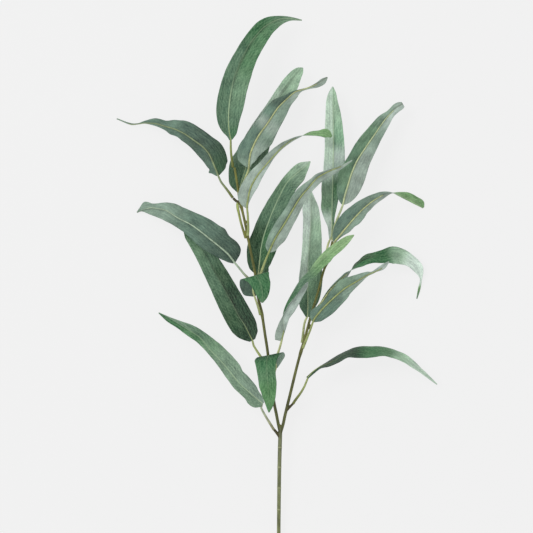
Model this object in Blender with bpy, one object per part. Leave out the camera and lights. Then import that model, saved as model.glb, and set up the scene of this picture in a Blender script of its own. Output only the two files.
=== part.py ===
# A cut willow branch with two twigs and twenty leaves, laid down on a surface.
# X runs across the branch, +Y from the cut end to the leaf tips, +Z up. Lengths in the
# tables are millimetres, and MM turns them into metres.

import math

import bmesh
import bpy
from mathutils import Vector

MM = 0.001

# Driving sizes, in millimetres
BLADE_THICKNESS = 0.6
FIT_GAP = 0.3
CUP_SLOPE = 0.25
CUP_STRAIGHT = 0.6
CUP_BEND = 0.4
WAVE_HEIGHT = 1.3
WAVES_PER_LEAF = 3.0
BLADE_STEPS = 17
END_CROWDING = 0.5
TANGENT_REACH = 1.0
STRIPS_PER_HALF = 2
PETIOLE_RADIUS = 1.0
MIDRIB_RADIUS = 0.85
MIDRIB_TIP_RADIUS = 0.4
MIDRIB_REACH = 0.86
STEM_CUT_RADIUS = 2.1
COLLAR_RADIUS = 2.3
TWIG_RADIUS = 1.5
TWIG_TIP_RADIUS = 1.15
STUB_RADIUS = 1.35
STUB_TIP_RADIUS = 1.2
MAIN_STEM_STEPS = 6
TWIG_STEPS = 20
MERGE_DISTANCE = 0.001

BLADE_ROUGHNESS = 0.6
BAR_ROUGHNESS = 0.5

LEAF_GREEN = (0.085, 0.175, 0.085, 1.0)
LEAF_GREY = (0.16, 0.24, 0.19, 1.0)
PETIOLE_GREEN = (0.36, 0.40, 0.15, 1.0)
STEM_OLIVE = (0.13, 0.13, 0.055, 1.0)

# Stem and twig centre lines: x, y, z
MAIN_STEM = (
    (2.5, -350.0, 2.1),
    (2.6, -300.0, 6.0),
    (3.0, -240.0, 12.0),
    (3.6, -190.0, 17.5),
    (4.4, -158.0, 21.2),
    (4.7, -146.0, 22.6),
)
LEFT_TWIG = (
    (4.6, -152.0, 21.8),
    (3.0, -144.4, 23.0),
    (0.6, -130.0, 25.0),
    (-2.4, -114.4, 27.0),
    (-6.0, -88.0, 30.0),
    (-10.2, -52.0, 33.5),
    (-12.6, -36.4, 35.0),
    (-17.4, -6.4, 38.0),
    (-21.0, 8.0, 39.0),
    (-25.8, 40.4, 42.0),
    (-31.8, 70.4, 44.0),
    (-39.0, 106.4, 45.3),
    (-44.4, 128.0, 45.8),
    (-48.0, 147.2, 46.2),
    (-52.2, 166.4, 46.7),
)
RIGHT_TWIG = (
    (4.9, -152.0, 21.8),
    (7.8, -142.0, 23.5),
    (10.2, -130.0, 25.0),
    (16.2, -103.6, 27.5),
    (24.6, -66.4, 30.5),
    (31.8, -40.0, 32.5),
    (37.8, -18.4, 33.7),
    (42.6, -4.0, 34.3),
    (49.8, 22.4, 35.5),
    (52.2, 34.4, 35.8),
    (55.8, 46.4, 36.0),
    (60.6, 53.6, 36.2),
    (64.2, 62.0, 36.4),
    (66.0, 72.8, 36.6),
    (67.2, 78.8, 36.8),
)
STUBS = (
    ((4.2, -156.4, 21.0), (0.6, -152.4, 21.9), (-3.0, -148.0, 23.0)),
    ((-44.6, 124.8, 45.6), (-48.6, 127.0, 45.0), (-52.0, 130.2, 44.2)),
    ((11.4, -125.6, 25.3), (15.4, -121.6, 25.8), (19.2, -118.0, 26.2)),
    ((37.0, -26.0, 33.1), (39.8, -24.2, 33.8), (42.2, -21.8, 34.4)),
    ((-37.6, 98.0, 45.0), (-36.6, 101.0, 45.6), (-35.9, 103.2, 46.2)),
    ((4.6, -148.0, 22.6), (4.2, -144.2, 23.4), (4.0, -142.0, 24.0)),
)

# One row for each station of a blade, from its base to its tip: x, y and z of the midrib,
# then how far the left and the right edge stand from it as seen from above. A distance
# below zero is an edge that has turned past the midrib. Two more numbers, where given,
# are the heights of those edges over the midrib. "face" is 1 where the top side looks up
# at the base and -1 where the underside does.
LEAVES = {
    "left_leaf_01": dict(
        face=1,
        phase=0.0,
        petiole=(
            (-3.3, -147.6, 23.1),
            (-6.6, -143.2, 24.0),
            (-11.4, -136.0, 26.0),
            (-16.0, -127.6, 28.0),
            (-17.4, -121.6, 29.0),
        ),
        rows=(
            (-16.2, -116.8, 30, 5.0, 2.0),
            (-20.4, -113.4, 30, 10.2, 6.0),
            (-31.8, -103.6, 32, 10.0, 9.6),
            (-43.8, -92.8, 34, 8.8, 12.4),
            (-55.8, -78.4, 34, 8.2, 13.8),
            (-67.8, -64.0, 33, 7.0, 13.2),
            (-79.8, -52.0, 31, 5.4, 12.6),
            (-91.8, -37.6, 28, 6.0, 8.6),
            (-115.8, -22.0, 22, 4.8, 4.8),
            (-130.0, -13.6, 18, 3.0, 2.6),
            (-142.0, -7.6, 14, 0.6, 0.6),
        ),
    ),
    "left_leaf_02": dict(
        face=-1,
        phase=1.0,
        across=(-1.0, -0.2, 0.0),
        petiole=(
            (-5.0, -84.0, 32.9),
            (-2.4, -79.0, 37.5),
        ),
        rows=(
            (-0.6, -73.6, 41, 2.0, 2.0),
            (-1.2, -67.6, 43, 8.0, 9.0),
            (-3.0, -61.6, 47, 11.0, 12.2),
            (-9.0, -57.8, 53, 14.5, 15.5),
            (-12.0, -66.4, 60, 12.6, 12.4),
            (-11.6, -78.4, 62, 11.5, 11.8),
            (-10.2, -94.0, 61, 10.0, 10.4),
            (-9.0, -109.6, 58, 6.5, 7.5),
            (-8.6, -119.2, 55, 3.6, 3.8),
            (-9.0, -126.4, 52, 0.7, 0.7),
        ),
    ),
    "left_leaf_03": dict(
        face=1,
        phase=2.0,
        petiole=(
            (-11.6, -67.4, 31.8),
            (-15.4, -62.4, 31.5),
            (-21.0, -56.0, 31.0),
            (-25.8, -47.2, 30.5),
        ),
        rows=(
            (-28.8, -40.6, 30, 2.0, 2.0),
            (-31.8, -35.2, 29, 9.0, 8.0),
            (-37.8, -23.2, 28, 14.4, 14.0),
            (-46.2, -10.0, 27, 15.6, 16.4),
            (-55.8, 8.0, 26, 15.0, 14.0),
            (-65.4, 26.0, 25, 13.2, 13.2),
            (-76.2, 44.0, 24, 11.8, 12.8),
            (-85.8, 62.0, 22, 11.5, 11.0),
            (-99.0, 81.6, 20, 8.4, 7.0),
            (-112.2, 96.0, 18, 0.6, 0.6),
        ),
    ),
    "left_leaf_04": dict(
        face=-1,
        phase=0.5,
        petiole=(
            (-26.2, 25.0, 40.8),
            (-31.0, 31.6, 41.0),
            (-37.8, 38.0, 40.5),
            (-44.0, 45.4, 39.5),
        ),
        rows=(
            (-50.4, 53.0, 38, 2.0, 2.0),
            (-53.4, 57.2, 39, 7.4, 10.0),
            (-58.2, 63.2, 40, 9.8, 14.4),
            (-67.8, 71.6, 41, 12.4, 16.0),
            (-79.8, 81.2, 42, 14.5, 19.5),
            (-91.8, 90.8, 41, 14.4, 17.6),
            (-103.8, 99.2, 39, 11.6, 14.6),
            (-118.2, 106.4, 35, 9.6, 12.2),
            (-133.8, 116.0, 28, 11.0, 9.0),
            (-149.4, 119.0, 18, 7.5, 5.0),
            (-157.8, 117.8, 11, 3.5, 8.0),
            (-168.6, 113.6, 4, 0.6, 0.6),
        ),
    ),
    "left_leaf_05": dict(
        face=-1,
        phase=2.5,
        across=(-1.0, -0.28, 0.0),
        petiole=(
            (-19.4, -9.6, 39.6),
            (-21.0, -3.6, 42.0),
            (-23.6, 4.6, 45.6),
        ),
        rows=(
            (-26.4, 12.8, 49, 2.0, 2.0),
            (-27.6, 16.4, 50, 9.0, 6.0),
            (-28.2, 22.4, 52, 14.0, 10.0),
            (-27.6, 31.2, 56, 16.2, 13.0),
            (-25.4, 37.6, 62, 16.6, 15.6),
            (-21.6, 32.8, 68, 13.0, 13.4),
            (-18.6, 25.4, 69, 10.8, 11.2),
            (-17.0, 16.4, 68, 7.5, 7.8),
            (-16.8, 9.8, 66, 4.2, 4.8),
            (-16.8, 5.0, 64, 1.0, 1.0),
        ),
    ),
    "left_leaf_06": dict(
        face=1,
        phase=1.5,
        petiole=(
            (-20.2, 15.0, 37.2),
            (-20.6, 22.0, 35.0),
            (-21.4, 30.0, 31.5),
        ),
        rows=(
            (-22.2, 38.0, 29, 2.0, 2.0),
            (-21.6, 43.4, 29, 9.0, 9.6),
            (-20.4, 53.6, 29, 14.4, 14.2),
            (-18.6, 70.4, 30, 15.6, 18.2),
            (-15.0, 86.0, 31, 15.0, 17.0),
            (-9.6, 101.6, 31, 13.5, 15.5),
            (-3.0, 118.4, 31, 11.5, 14.0),
            (4.2, 134.0, 30, 9.5, 11.0),
            (12.6, 149.0, 28, 7.3, 10.5),
            (25.8, 161.6, 25, 7.6, 9.5),
            (34.2, 168.2, 22, 5.5, 5.5),
            (40.8, 174.8, 20, 0.6, 0.6),
        ),
    ),
    "left_leaf_07": dict(
        face=-1,
        phase=0.2,
        petiole=(
            (-22.2, 29.6, 41.6),
            (-20.4, 36.0, 42.6),
            (-16.2, 47.6, 43.6),
            (-12.6, 57.2, 44.4),
        ),
        rows=(
            (-9.0, 65.6, 45, 2.0, 2.0),
            (-7.2, 69.8, 46, 6.5, 6.0),
            (-4.8, 75.2, 48, 8.0, 7.8),
            (0.6, 85.4, 51, 9.2, 10.0),
            (10.2, 100.4, 54, 9.8, 9.6),
            (18.6, 114.8, 56, 8.4, 9.0),
            (28.2, 130.4, 57, 9.2, 7.0),
            (37.8, 141.8, 57, 7.6, 5.0),
            (49.8, 155.0, 56, 6.0, 6.0),
            (64.2, 162.8, 54, 1.8, 6.0),
            (77.4, 168.2, 52, 1.0, 3.0),
            (90.6, 175.4, 50, 0.6, 0.6),
        ),
    ),
    "left_leaf_08": dict(
        face=-1,
        reach=0.66,
        phase=1.2,
        petiole=(
            (-33.0, 86.0, 46.6),
            (-33.6, 93.0, 48.4),
            (-34.1, 101.0, 50.6),
            (-34.4, 110.0, 52.6),
        ),
        rows=(
            (-35.4, 118.4, 54, 2.0, 1.6),
            (-35.2, 122.4, 54, 8.0, 1.8),
            (-34.2, 128.0, 55, 11.5, 2.4),
            (-32.4, 137.6, 56, 12.4, 5.8),
            (-29.4, 146.0, 57, 11.0, 8.2),
            (-22.2, 158.0, 58, 9.4, 7.2),
            (-13.8, 168.2, 58, 7.8, 5.0),
            (-4.2, 179.6, 58, 7.2, 4.0, 2.0, -3.0),
            (6.6, 191.0, 57, 4.8, 3.0, 4.0, -4.5),
            (18.6, 200.0, 56, 2.0, 2.0, 5.0, -5.0),
            (28.2, 203.8, 55, 0.5, 0.5, 5.0, -5.0),
            (40.2, 207.8, 54, -1.8, -1.8, 4.5, -4.5),
            (51.0, 208.0, 52, -3.4, -3.2, 3.5, -3.5),
            (59.4, 207.6, 50, -5.0, -5.2, 2.0, -2.0),
            (66.0, 203.6, 47, -1.0, -1.5, 0.5, -0.5),
        ),
    ),
    "left_leaf_09": dict(
        face=-1,
        phase=0.8,
        petiole=(
            (-52.4, 130.6, 44.1),
            (-58.2, 138.8, 43.5),
            (-66.6, 149.6, 42.0),
        ),
        rows=(
            (-70.2, 157.4, 40, 2.0, 2.0),
            (-72.0, 162.8, 40, 5.0, 9.8),
            (-75.0, 170.0, 40, 8.6, 16.8),
            (-81.0, 183.2, 40, 11.0, 19.0),
            (-88.2, 191.6, 39, 11.4, 17.6),
            (-97.8, 198.8, 37, 9.2, 15.6),
            (-109.8, 207.2, 34, 9.3, 14.2),
            (-121.8, 213.2, 30, 7.9, 11.4),
            (-133.8, 216.8, 25, 5.8, 6.9),
            (-145.8, 220.4, 19, 3.6, 5.0),
            (-159.0, 221.2, 12, 1.2, 1.2),
            (-175.8, 220.0, 5, 0.9, 0.9),
            (-193.2, 227.0, 0.4, 0.6, 0.6),
        ),
    ),
    "left_leaf_10": dict(
        face=1,
        phase=2.2,
        petiole=(
            (-52.3, 166.9, 46.7),
            (-53.0, 172.4, 46.8),
            (-54.2, 182.0, 47.0),
            (-54.8, 190.0, 47.0),
        ),
        rows=(
            (-54.6, 200.0, 47, 2.0, 2.0),
            (-55.8, 204.8, 47, 4.0, 5.0),
            (-56.8, 210.8, 48, 7.0, 9.0),
            (-57.6, 221.6, 50, 12.2, 12.6),
            (-57.0, 238.4, 53, 14.4, 16.0),
            (-54.0, 260.0, 55, 14.4, 17.6),
            (-48.6, 280.4, 55, 12.8, 18.0),
            (-39.0, 302.0, 52, 10.8, 17.0),
            (-29.4, 318.8, 48, 10.0, 16.0),
            (-17.4, 333.2, 43, 9.4, 13.6),
            (-7.8, 340.4, 39, 8.6, 11.0),
            (3.0, 345.2, 35, 4.6, 7.2),
            (16.2, 346.2, 31, 2.0, 3.0),
            (30.6, 344.6, 27, 0.6, 0.6),
        ),
    ),
    "left_leaf_11": dict(
        face=1,
        phase=0.4,
        petiole=(
            (-42.8, 119.0, 42.9),
            (-44.4, 128.0, 38.5),
        ),
        rows=(
            (-45.6, 137.0, 33, 2.0, 2.0),
            (-44.4, 141.2, 32, 8.0, 6.0),
            (-42.6, 148.4, 31, 13.2, 9.6),
            (-36.6, 168.8, 30, 18.0, 13.0),
            (-30.6, 188.0, 29, 16.2, 15.6),
            (-23.4, 204.8, 29, 13.2, 14.4),
            (-15.0, 221.6, 29, 11.4, 14.0),
            (-5.4, 238.4, 29, 10.6, 13.0),
            (4.2, 254.0, 28, 8.6, 12.0),
            (13.8, 267.2, 26, 8.6, 13.0),
            (23.4, 279.2, 23, 5.6, 8.0),
            (28.8, 284.6, 21.5, 3.0, 4.0),
            (31.8, 287.6, 21, 0.6, 0.6),
        ),
    ),
    "left_leaf_12": dict(
        face=-1,
        phase=1.7,
        petiole=(
            (-42.4, 132.0, 46.0),
            (-42.0, 141.0, 45.5),
            (-37.8, 153.2, 44.4),
            (-34.4, 161.6, 43.6),
        ),
        rows=(
            (-33.0, 167.0, 43, 2.0, 2.0),
            (-33.0, 170.6, 43.5, 8.0, 3.0),
            (-32.6, 175.4, 44, 14.0, 7.0),
            (-30.6, 185.6, 46, 18.0, 11.5),
            (-22.2, 203.6, 48, 13.4, 15.6),
            (-10.2, 220.4, 49, 12.8, 13.8),
            (1.8, 238.4, 48, 11.5, 11.8),
            (12.6, 249.2, 46, 5.4, 8.0),
            (22.2, 257.4, 44, 2.0, 6.0),
            (30.0, 260.0, 42, 0.8, 1.4),
            (39.0, 263.2, 40, 1.2, 1.4),
            (48.6, 267.2, 38, 2.8, 4.2),
            (55.8, 271.4, 36, 3.0, 3.8),
            (61.2, 275.6, 35, 0.6, 0.6),
        ),
    ),
    "left_leaf_13": dict(
        face=-1,
        reach=0.24,
        phase=0.0,
        petiole=(
            (-5.6, -70.4, 33.0),
            (-3.6, -66.4, 35.4),
            (-0.4, -60.6, 38.4),
            (3.0, -52.0, 41.0),
            (5.4, -43.6, 42.6),
        ),
        rows=(
            (6.6, -39.2, 43, 7.4, 1.0, 1.0, 0.0),
            (7.0, -35.8, 43.5, 8.4, 0.8, 1.2, -0.4),
            (9.0, -26.8, 45, 8.4, 1.0, 2.0, -1.0),
            (9.0, -16.0, 47, 5.0, 4.2, 5.0, -3.0),
            (7.6, -5.2, 49, -1.5, 9.5, 6.0, -3.0),
            (12.6, 8.0, 51, -5.5, 12.0, 5.5, -2.0),
            (19.8, 18.8, 52, -7.0, 10.5, 5.0, -3.0),
            (28.2, 32.6, 52, -9.0, 9.0, 4.0, -5.0),
            (38.4, 42.2, 51, -9.0, 1.0, 3.0, -8.0),
            (51.0, 53.6, 50, -7.5, -4.0, 2.0, -6.0),
            (64.2, 65.0, 49, -6.0, -5.4, 2.0, -2.0),
            (76.2, 74.0, 47, -5.4, -5.4, 1.0, 1.0),
            (85.8, 81.2, 45, -3.8, -4.0, 1.0, 1.0),
            (93.0, 86.0, 43, -0.6, -0.6, 0.0, 0.0),
        ),
    ),
    "right_leaf_01": dict(
        face=1,
        phase=0.9,
        petiole=(
            (19.5, -117.7, 26.3),
            (23.4, -110.4, 28.0),
            (28.2, -106.0, 29.5),
            (31.8, -100.0, 31.0),
            (35.2, -93.4, 32.2),
        ),
        rows=(
            (37.0, -85.6, 33, 1.4, 1.4, -1.0, 1.0),
            (43.8, -77.8, 33, 2.0, 2.0, -4.0, 3.0),
            (52.2, -72.2, 33, 2.0, 2.0, -6.0, 5.0),
            (61.8, -68.6, 33, 2.2, 2.4, -9.0, 8.0),
            (72.6, -63.2, 33.5, 3.8, 3.8, -10.0, 9.0),
            (84.6, -56.8, 34, 3.5, 3.5, -11.0, 10.0),
            (97.8, -54.6, 34, 5.8, 6.0, -11.0, 10.0),
            (112.2, -54.4, 33, 6.5, 6.5, -10.0, 10.0),
            (127.8, -54.0, 32, 5.6, 5.6, -9.0, 9.0),
            (142.2, -57.2, 30, 5.2, 5.2, -7.0, 7.0),
            (154.2, -63.0, 28, 4.8, 4.8, -5.0, 5.0),
            (165.0, -70.6, 25, 4.0, 4.0, -4.0, 4.0),
            (177.0, -80.6, 21, 2.5, 2.5, -2.0, 2.0),
            (193.8, -94.0, 14, 0.6, 0.6, 0.0, 0.0),
        ),
    ),
    "right_leaf_02": dict(
        face=-1,
        phase=2.8,
        petiole=(
            (30.2, -55.0, 32.6),
            (32.4, -51.6, 34.4),
            (36.6, -43.0, 37.0),
            (40.2, -31.6, 40.5),
            (42.6, -24.0, 43.2),
        ),
        rows=(
            (43.8, -17.8, 45, 2.0, 2.0),
            (45.6, -14.2, 46, 6.5, 5.5),
            (48.6, -10.0, 47, 9.0, 8.6),
            (58.2, 0.8, 49, 7.0, 13.2),
            (70.2, 12.2, 51, 9.4, 12.2),
            (83.4, 23.0, 51, 10.8, 9.0),
            (97.8, 31.4, 49, 7.4, 4.6),
            (109.8, 38.4, 46, 2.8, 2.0),
            (119.4, 42.4, 44, 1.4, 1.8),
            (127.8, 47.2, 42, 2.6, 2.0),
            (135.0, 54.2, 40, 0.6, 0.6),
        ),
    ),
    "right_leaf_03": dict(
        face=-1,
        reach=0.3,
        phase=1.1,
        petiole=(
            (43.4, -8.6, 35.2),
            (47.6, -2.6, 37.0),
        ),
        rows=(
            (54.6, 5.6, 38, 1.6, 1.6, 0.0, 0.0),
            (63.0, 18.8, 38, 1.8, 6.0, 3.0, -1.0),
            (71.4, 27.8, 38, 1.4, 6.0, 4.5, -2.0),
            (79.8, 35.6, 37, 1.0, 4.5, 5.0, -4.0),
            (87.6, 42.4, 36, 0.5, 1.5, 5.5, -5.5),
            (95.4, 49.2, 34, -2.4, -2.4, 5.0, -5.0),
            (105.0, 55.4, 32, -4.4, -5.0, 4.0, -3.0),
            (117.0, 59.2, 30, -5.8, -6.0, 3.0, -1.0),
            (129.0, 60.3, 27, -6.4, -6.8, 2.5, 1.0),
            (139.8, 62.6, 24, -9.4, -9.0, 2.0, 2.0),
            (150.6, 60.0, 20, -10.2, -9.0, 2.0, 2.0),
            (161.4, 53.6, 15, -8.4, -8.0, 2.0, 2.0),
            (170.4, 44.2, 9, -4.8, -5.0, 1.0, 1.0),
            (173.8, 33.2, 5, -1.9, -1.9, 0.0, 0.0),
            (172.2, 21.2, 2.3, -1.2, -1.2, 0.0, 0.0),
            (169.8, 9.2, 0.3, -0.6, -0.6, 0.0, 0.0),
        ),
    ),
    "right_leaf_04": dict(
        face=1,
        phase=0.6,
        petiole=(
            (27.2, -47.5, 31.8),
            (28.4, -40.0, 31.6),
            (30.3, -33.0, 31.5),
            (32.4, -26.0, 31.2),
            (34.2, -19.6, 30.8),
        ),
        rows=(
            (37.2, -12.4, 30, 2.0, 2.0),
            (37.4, -7.6, 29, 6.0, 5.0),
            (37.8, -1.6, 28, 9.0, 8.5),
            (37.8, 9.2, 26, 10.8, 12.5),
            (37.8, 26.0, 25, 9.6, 14.4),
            (37.8, 46.4, 24, 8.6, 15.0),
            (39.0, 68.0, 24, 8.0, 15.4),
            (40.6, 88.4, 24, 9.0, 13.6),
            (41.4, 106.4, 24, 9.8, 11.4),
            (41.4, 120.8, 23, 10.0, 8.6),
            (41.4, 131.6, 22, 6.0, 4.5),
            (40.8, 141.2, 21, 0.6, 0.6),
        ),
    ),
    "right_leaf_05": dict(
        face=1,
        phase=1.4,
        petiole=(
            (59.2, 56.6, 35.2),
            (60.4, 63.0, 34.0),
            (61.0, 70.4, 33.0),
            (62.4, 76.0, 32.0),
        ),
        rows=(
            (64.8, 81.2, 31, 1.6, 1.6),
            (66.0, 86.0, 30, 3.0, 2.5),
            (66.6, 95.6, 29, 6.0, 3.0),
            (66.6, 106.4, 28, 9.5, 3.2),
            (66.8, 117.2, 27, 13.0, 5.2),
            (67.0, 129.2, 26, 13.2, 7.5),
            (67.6, 146.0, 25, 13.0, 11.0),
            (68.0, 166.4, 25, 12.2, 14.0),
            (68.4, 188.0, 25, 11.0, 13.0),
            (68.4, 212.0, 25, 9.8, 10.8),
            (68.0, 233.6, 24, 8.8, 9.0),
            (67.6, 248.0, 23, 7.0, 6.0),
            (67.6, 257.6, 22, 4.0, 4.0),
            (67.8, 264.8, 21, 0.6, 0.6),
        ),
    ),
    "right_leaf_06": dict(
        face=-1,
        phase=2.1,
        petiole=(
            (67.4, 79.3, 37.0),
            (68.2, 86.0, 37.8),
            (69.6, 95.0, 38.8),
            (72.6, 104.4, 40.0),
            (77.4, 116.0, 41.5),
        ),
        rows=(
            (79.8, 122.6, 42, 2.0, 2.0),
            (80.6, 126.8, 42, 6.0, 6.0),
            (82.2, 134.0, 42, 10.2, 12.0),
            (85.8, 146.0, 42, 13.5, 16.6),
            (89.4, 158.0, 41.5, 14.8, 17.4),
            (96.6, 174.8, 41, 11.4, 16.2),
            (107.4, 191.6, 39, 12.3, 12.8),
            (118.2, 207.2, 36, 11.5, 10.8),
            (129.0, 222.8, 32, 9.0, 8.4),
            (137.4, 232.4, 29, 4.6, 5.0),
            (144.6, 239.0, 26, 3.6, 4.0),
            (151.0, 242.6, 24, 3.0, 3.0),
        ),
    ),
    "right_leaf_07": dict(
        face=-1,
        reach=0.55,
        phase=0.3,
        petiole=(
            (66.0, 68.0, 39.0),
            (67.6, 73.0, 40.6),
        ),
        rows=(
            (69.6, 77.6, 42, 2.0, 1.6),
            (72.6, 81.8, 43.5, 7.0, 2.0),
            (76.8, 86.6, 45, 11.0, 3.0),
            (82.2, 93.2, 46, 13.4, 5.6),
            (91.8, 104.6, 47, 14.0, 8.0),
            (103.8, 117.2, 46, 11.0, 6.6),
            (114.6, 126.2, 43, 7.5, 5.5, 1.0, -2.5),
            (126.6, 133.4, 38, 4.4, 4.0, 4.0, -4.5),
            (137.4, 136.4, 33, 0.8, 0.8, 5.5, -5.5),
            (148.2, 134.6, 27, -3.0, -3.0, 4.5, -4.5),
            (159.0, 131.0, 20, -5.0, -5.0, 2.0, -2.0),
            (168.6, 125.6, 10, -4.6, -4.6, 1.0, -1.0),
            (178.2, 118.8, 0.1, -0.7, -0.7, 0.0, 0.0),
        ),
    ),
}


def hermite(knots, values, at):
    """A smooth curve through the values at the knots, read at one place."""
    last = len(knots) - 1
    i = 0
    while i < last - 1 and at > knots[i + 1]:
        i += 1
    slopes = []
    for k in (i, i + 1):
        before = max(k - 1, 0)
        after = min(k + 1, last)
        slopes.append((values[after] - values[before]) / (knots[after] - knots[before]))
    span = knots[i + 1] - knots[i]
    t = (at - knots[i]) / span
    return (
        values[i] * (2 * t**3 - 3 * t**2 + 1)
        + slopes[0] * span * (t**3 - 2 * t**2 + t)
        + values[i + 1] * (3 * t**2 - 2 * t**3)
        + slopes[1] * span * (t**3 - t**2)
    )


def full_row(row):
    """The row with both edge heights. A plain row's edges rise toward the top side."""
    if len(row) == 7:
        return row
    return row + (None, None)


def station_table(leaf):
    """Distance along the midrib for each row, and the seven columns."""
    rows = []
    for row in leaf["rows"]:
        row = full_row(row)
        lifts = [
            leaf["face"] * CUP_SLOPE * abs(row[3 + k]) if row[5 + k] is None else row[5 + k]
            for k in (0, 1)
        ]
        rows.append(tuple(row[:5]) + tuple(lifts))
    knots = [0.0]
    for a, b in zip(rows, rows[1:]):
        knots.append(knots[-1] + (Vector(b[:3]) - Vector(a[:3])).length)
    return knots, list(zip(*rows))


def leaf_grid(leaf, steps, strips):
    """Points of the blade's middle surface: one list for each step from base to tip."""
    knots, columns = station_table(leaf)
    length = knots[-1]
    grid = []
    for i in range(steps + 1):
        even = i / steps
        eased = 0.5 - 0.5 * math.cos(math.pi * even)
        share = (1 - END_CROWDING) * even + END_CROWDING * eased
        at = length * share
        x, y, z, left, right, lift_left, lift_right = [hermite(knots, c, at) for c in columns]
        ahead = min(at + TANGENT_REACH, length)
        behind = max(at - TANGENT_REACH, 0.0)
        along = Vector([hermite(knots, c, ahead) - hermite(knots, c, behind) for c in columns[:3]])
        side = Vector(leaf.get("across", (-along.y, along.x, 0.0)))
        side.z = 0.0
        side.normalize()
        wave = WAVE_HEIGHT * math.sin(2 * math.pi * WAVES_PER_LEAF * share + leaf["phase"])
        wave *= math.sin(math.pi * share)
        line = []
        for j in range(-strips, strips + 1):
            v = abs(j) / strips
            seen, lift, turn = (left, lift_left, 1) if j < 0 else (right, lift_right, -1)
            up = lift * (CUP_STRAIGHT * v + CUP_BEND * v * v) + turn * wave * v * v
            line.append(Vector((x, y, z)) + side * (turn * seen * v) + Vector((0, 0, up)))
        grid.append(line)
    return grid


def grid_normals(grid):
    """Unit normals of the grid, up for a blade that lies flat with its left edge at left."""
    rows = len(grid)
    columns = len(grid[0])
    normals = []
    for i in range(rows):
        line = []
        for j in range(columns):
            along = grid[min(i + 1, rows - 1)][j] - grid[max(i - 1, 0)][j]
            over = grid[i][min(j + 1, columns - 1)] - grid[i][max(j - 1, 0)]
            line.append(over.cross(along).normalized())
        normals.append(line)
    return normals


def material(name, colour, roughness):
    made = bpy.data.materials.new(name)
    made.use_nodes = True
    shader = made.node_tree.nodes["Principled BSDF"]
    shader.inputs["Base Color"].default_value = colour
    shader.inputs["Roughness"].default_value = roughness
    made.diffuse_color = colour
    return made


def finish(name, form, colour, roughness):
    """Turns a bmesh into a named object in the scene, in metres."""
    bmesh.ops.recalc_face_normals(form, faces=form.faces)
    bmesh.ops.scale(form, vec=(MM, MM, MM), verts=form.verts)
    for face in form.faces:
        face.smooth = True
    mesh = bpy.data.meshes.new(name)
    form.to_mesh(mesh)
    form.free()
    mesh.materials.append(material(name + "_colour", colour, roughness))
    made = bpy.data.objects.new(name, mesh)
    bpy.context.scene.collection.objects.link(made)
    return made


def blade(name, leaf):
    """A thin closed shell on both sides of the leaf's middle surface, pressed to z = 0."""
    grid = leaf_grid(leaf, BLADE_STEPS, STRIPS_PER_HALF)
    normals = grid_normals(grid)
    rows = len(grid)
    columns = len(grid[0])
    form = bmesh.new()
    sheets = []
    for sign in (1, -1):
        sheet = []
        for i in range(rows):
            line = []
            for j in range(columns):
                point = grid[i][j] + normals[i][j] * (sign * BLADE_THICKNESS / 2)
                upper = sign * normals[i][j].z > 0
                point.z = max(point.z, BLADE_THICKNESS if upper else 0.0)
                line.append(form.verts.new(point))
            sheet.append(line)
        sheets.append(sheet)
    for sheet in sheets:
        for i in range(rows - 1):
            for j in range(columns - 1):
                a, b = sheet[i][j], sheet[i][j + 1]
                c, d = sheet[i + 1][j + 1], sheet[i + 1][j]
                form.faces.new((a, b, c))
                form.faces.new((a, c, d))
    ring = [(0, j) for j in range(columns)]
    ring += [(i, columns - 1) for i in range(1, rows)]
    ring += [(rows - 1, j) for j in range(columns - 2, -1, -1)]
    ring += [(i, 0) for i in range(rows - 2, 0, -1)]
    for (i, j), (k, l) in zip(ring, ring[1:] + ring[:1]):
        form.faces.new((sheets[0][i][j], sheets[0][k][l], sheets[1][k][l]))
        form.faces.new((sheets[0][i][j], sheets[1][k][l], sheets[1][i][j]))
    colour = LEAF_GREEN if leaf["face"] > 0 else LEAF_GREY
    return finish(name, form, colour, BLADE_ROUGHNESS)


def tube(points, radii, resolution):
    """A bmesh of a round bar along the points, with a radius at each, made from a curve."""
    curve = bpy.data.curves.new("guide", "CURVE")
    curve.dimensions = "3D"
    curve.bevel_depth = 1.0
    curve.bevel_resolution = resolution
    curve.use_fill_caps = True
    spline = curve.splines.new("POLY")
    spline.points.add(len(points) - 1)
    for spot, place, radius in zip(spline.points, points, radii):
        spot.co = (*place, 1.0)
        spot.radius = radius
    holder = bpy.data.objects.new("guide", curve)
    bpy.context.scene.collection.objects.link(holder)
    bpy.context.view_layer.update()
    graph = bpy.context.evaluated_depsgraph_get()
    mesh = bpy.data.meshes.new_from_object(holder.evaluated_get(graph))
    form = bmesh.new()
    form.from_mesh(mesh)
    bmesh.ops.remove_doubles(form, verts=form.verts, dist=MERGE_DISTANCE)
    bmesh.ops.triangulate(form, faces=form.faces)
    bpy.data.objects.remove(holder)
    bpy.data.curves.remove(curve)
    bpy.data.meshes.remove(mesh)
    return form


def smooth_path(points, count):
    """Points spread evenly along a smooth curve through the given ones."""
    knots = [0.0]
    for a, b in zip(points, points[1:]):
        knots.append(knots[-1] + (Vector(b) - Vector(a)).length)
    columns = list(zip(*points))
    return [
        Vector([hermite(knots, c, knots[-1] * i / count) for c in columns])
        for i in range(count + 1)
    ]


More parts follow.
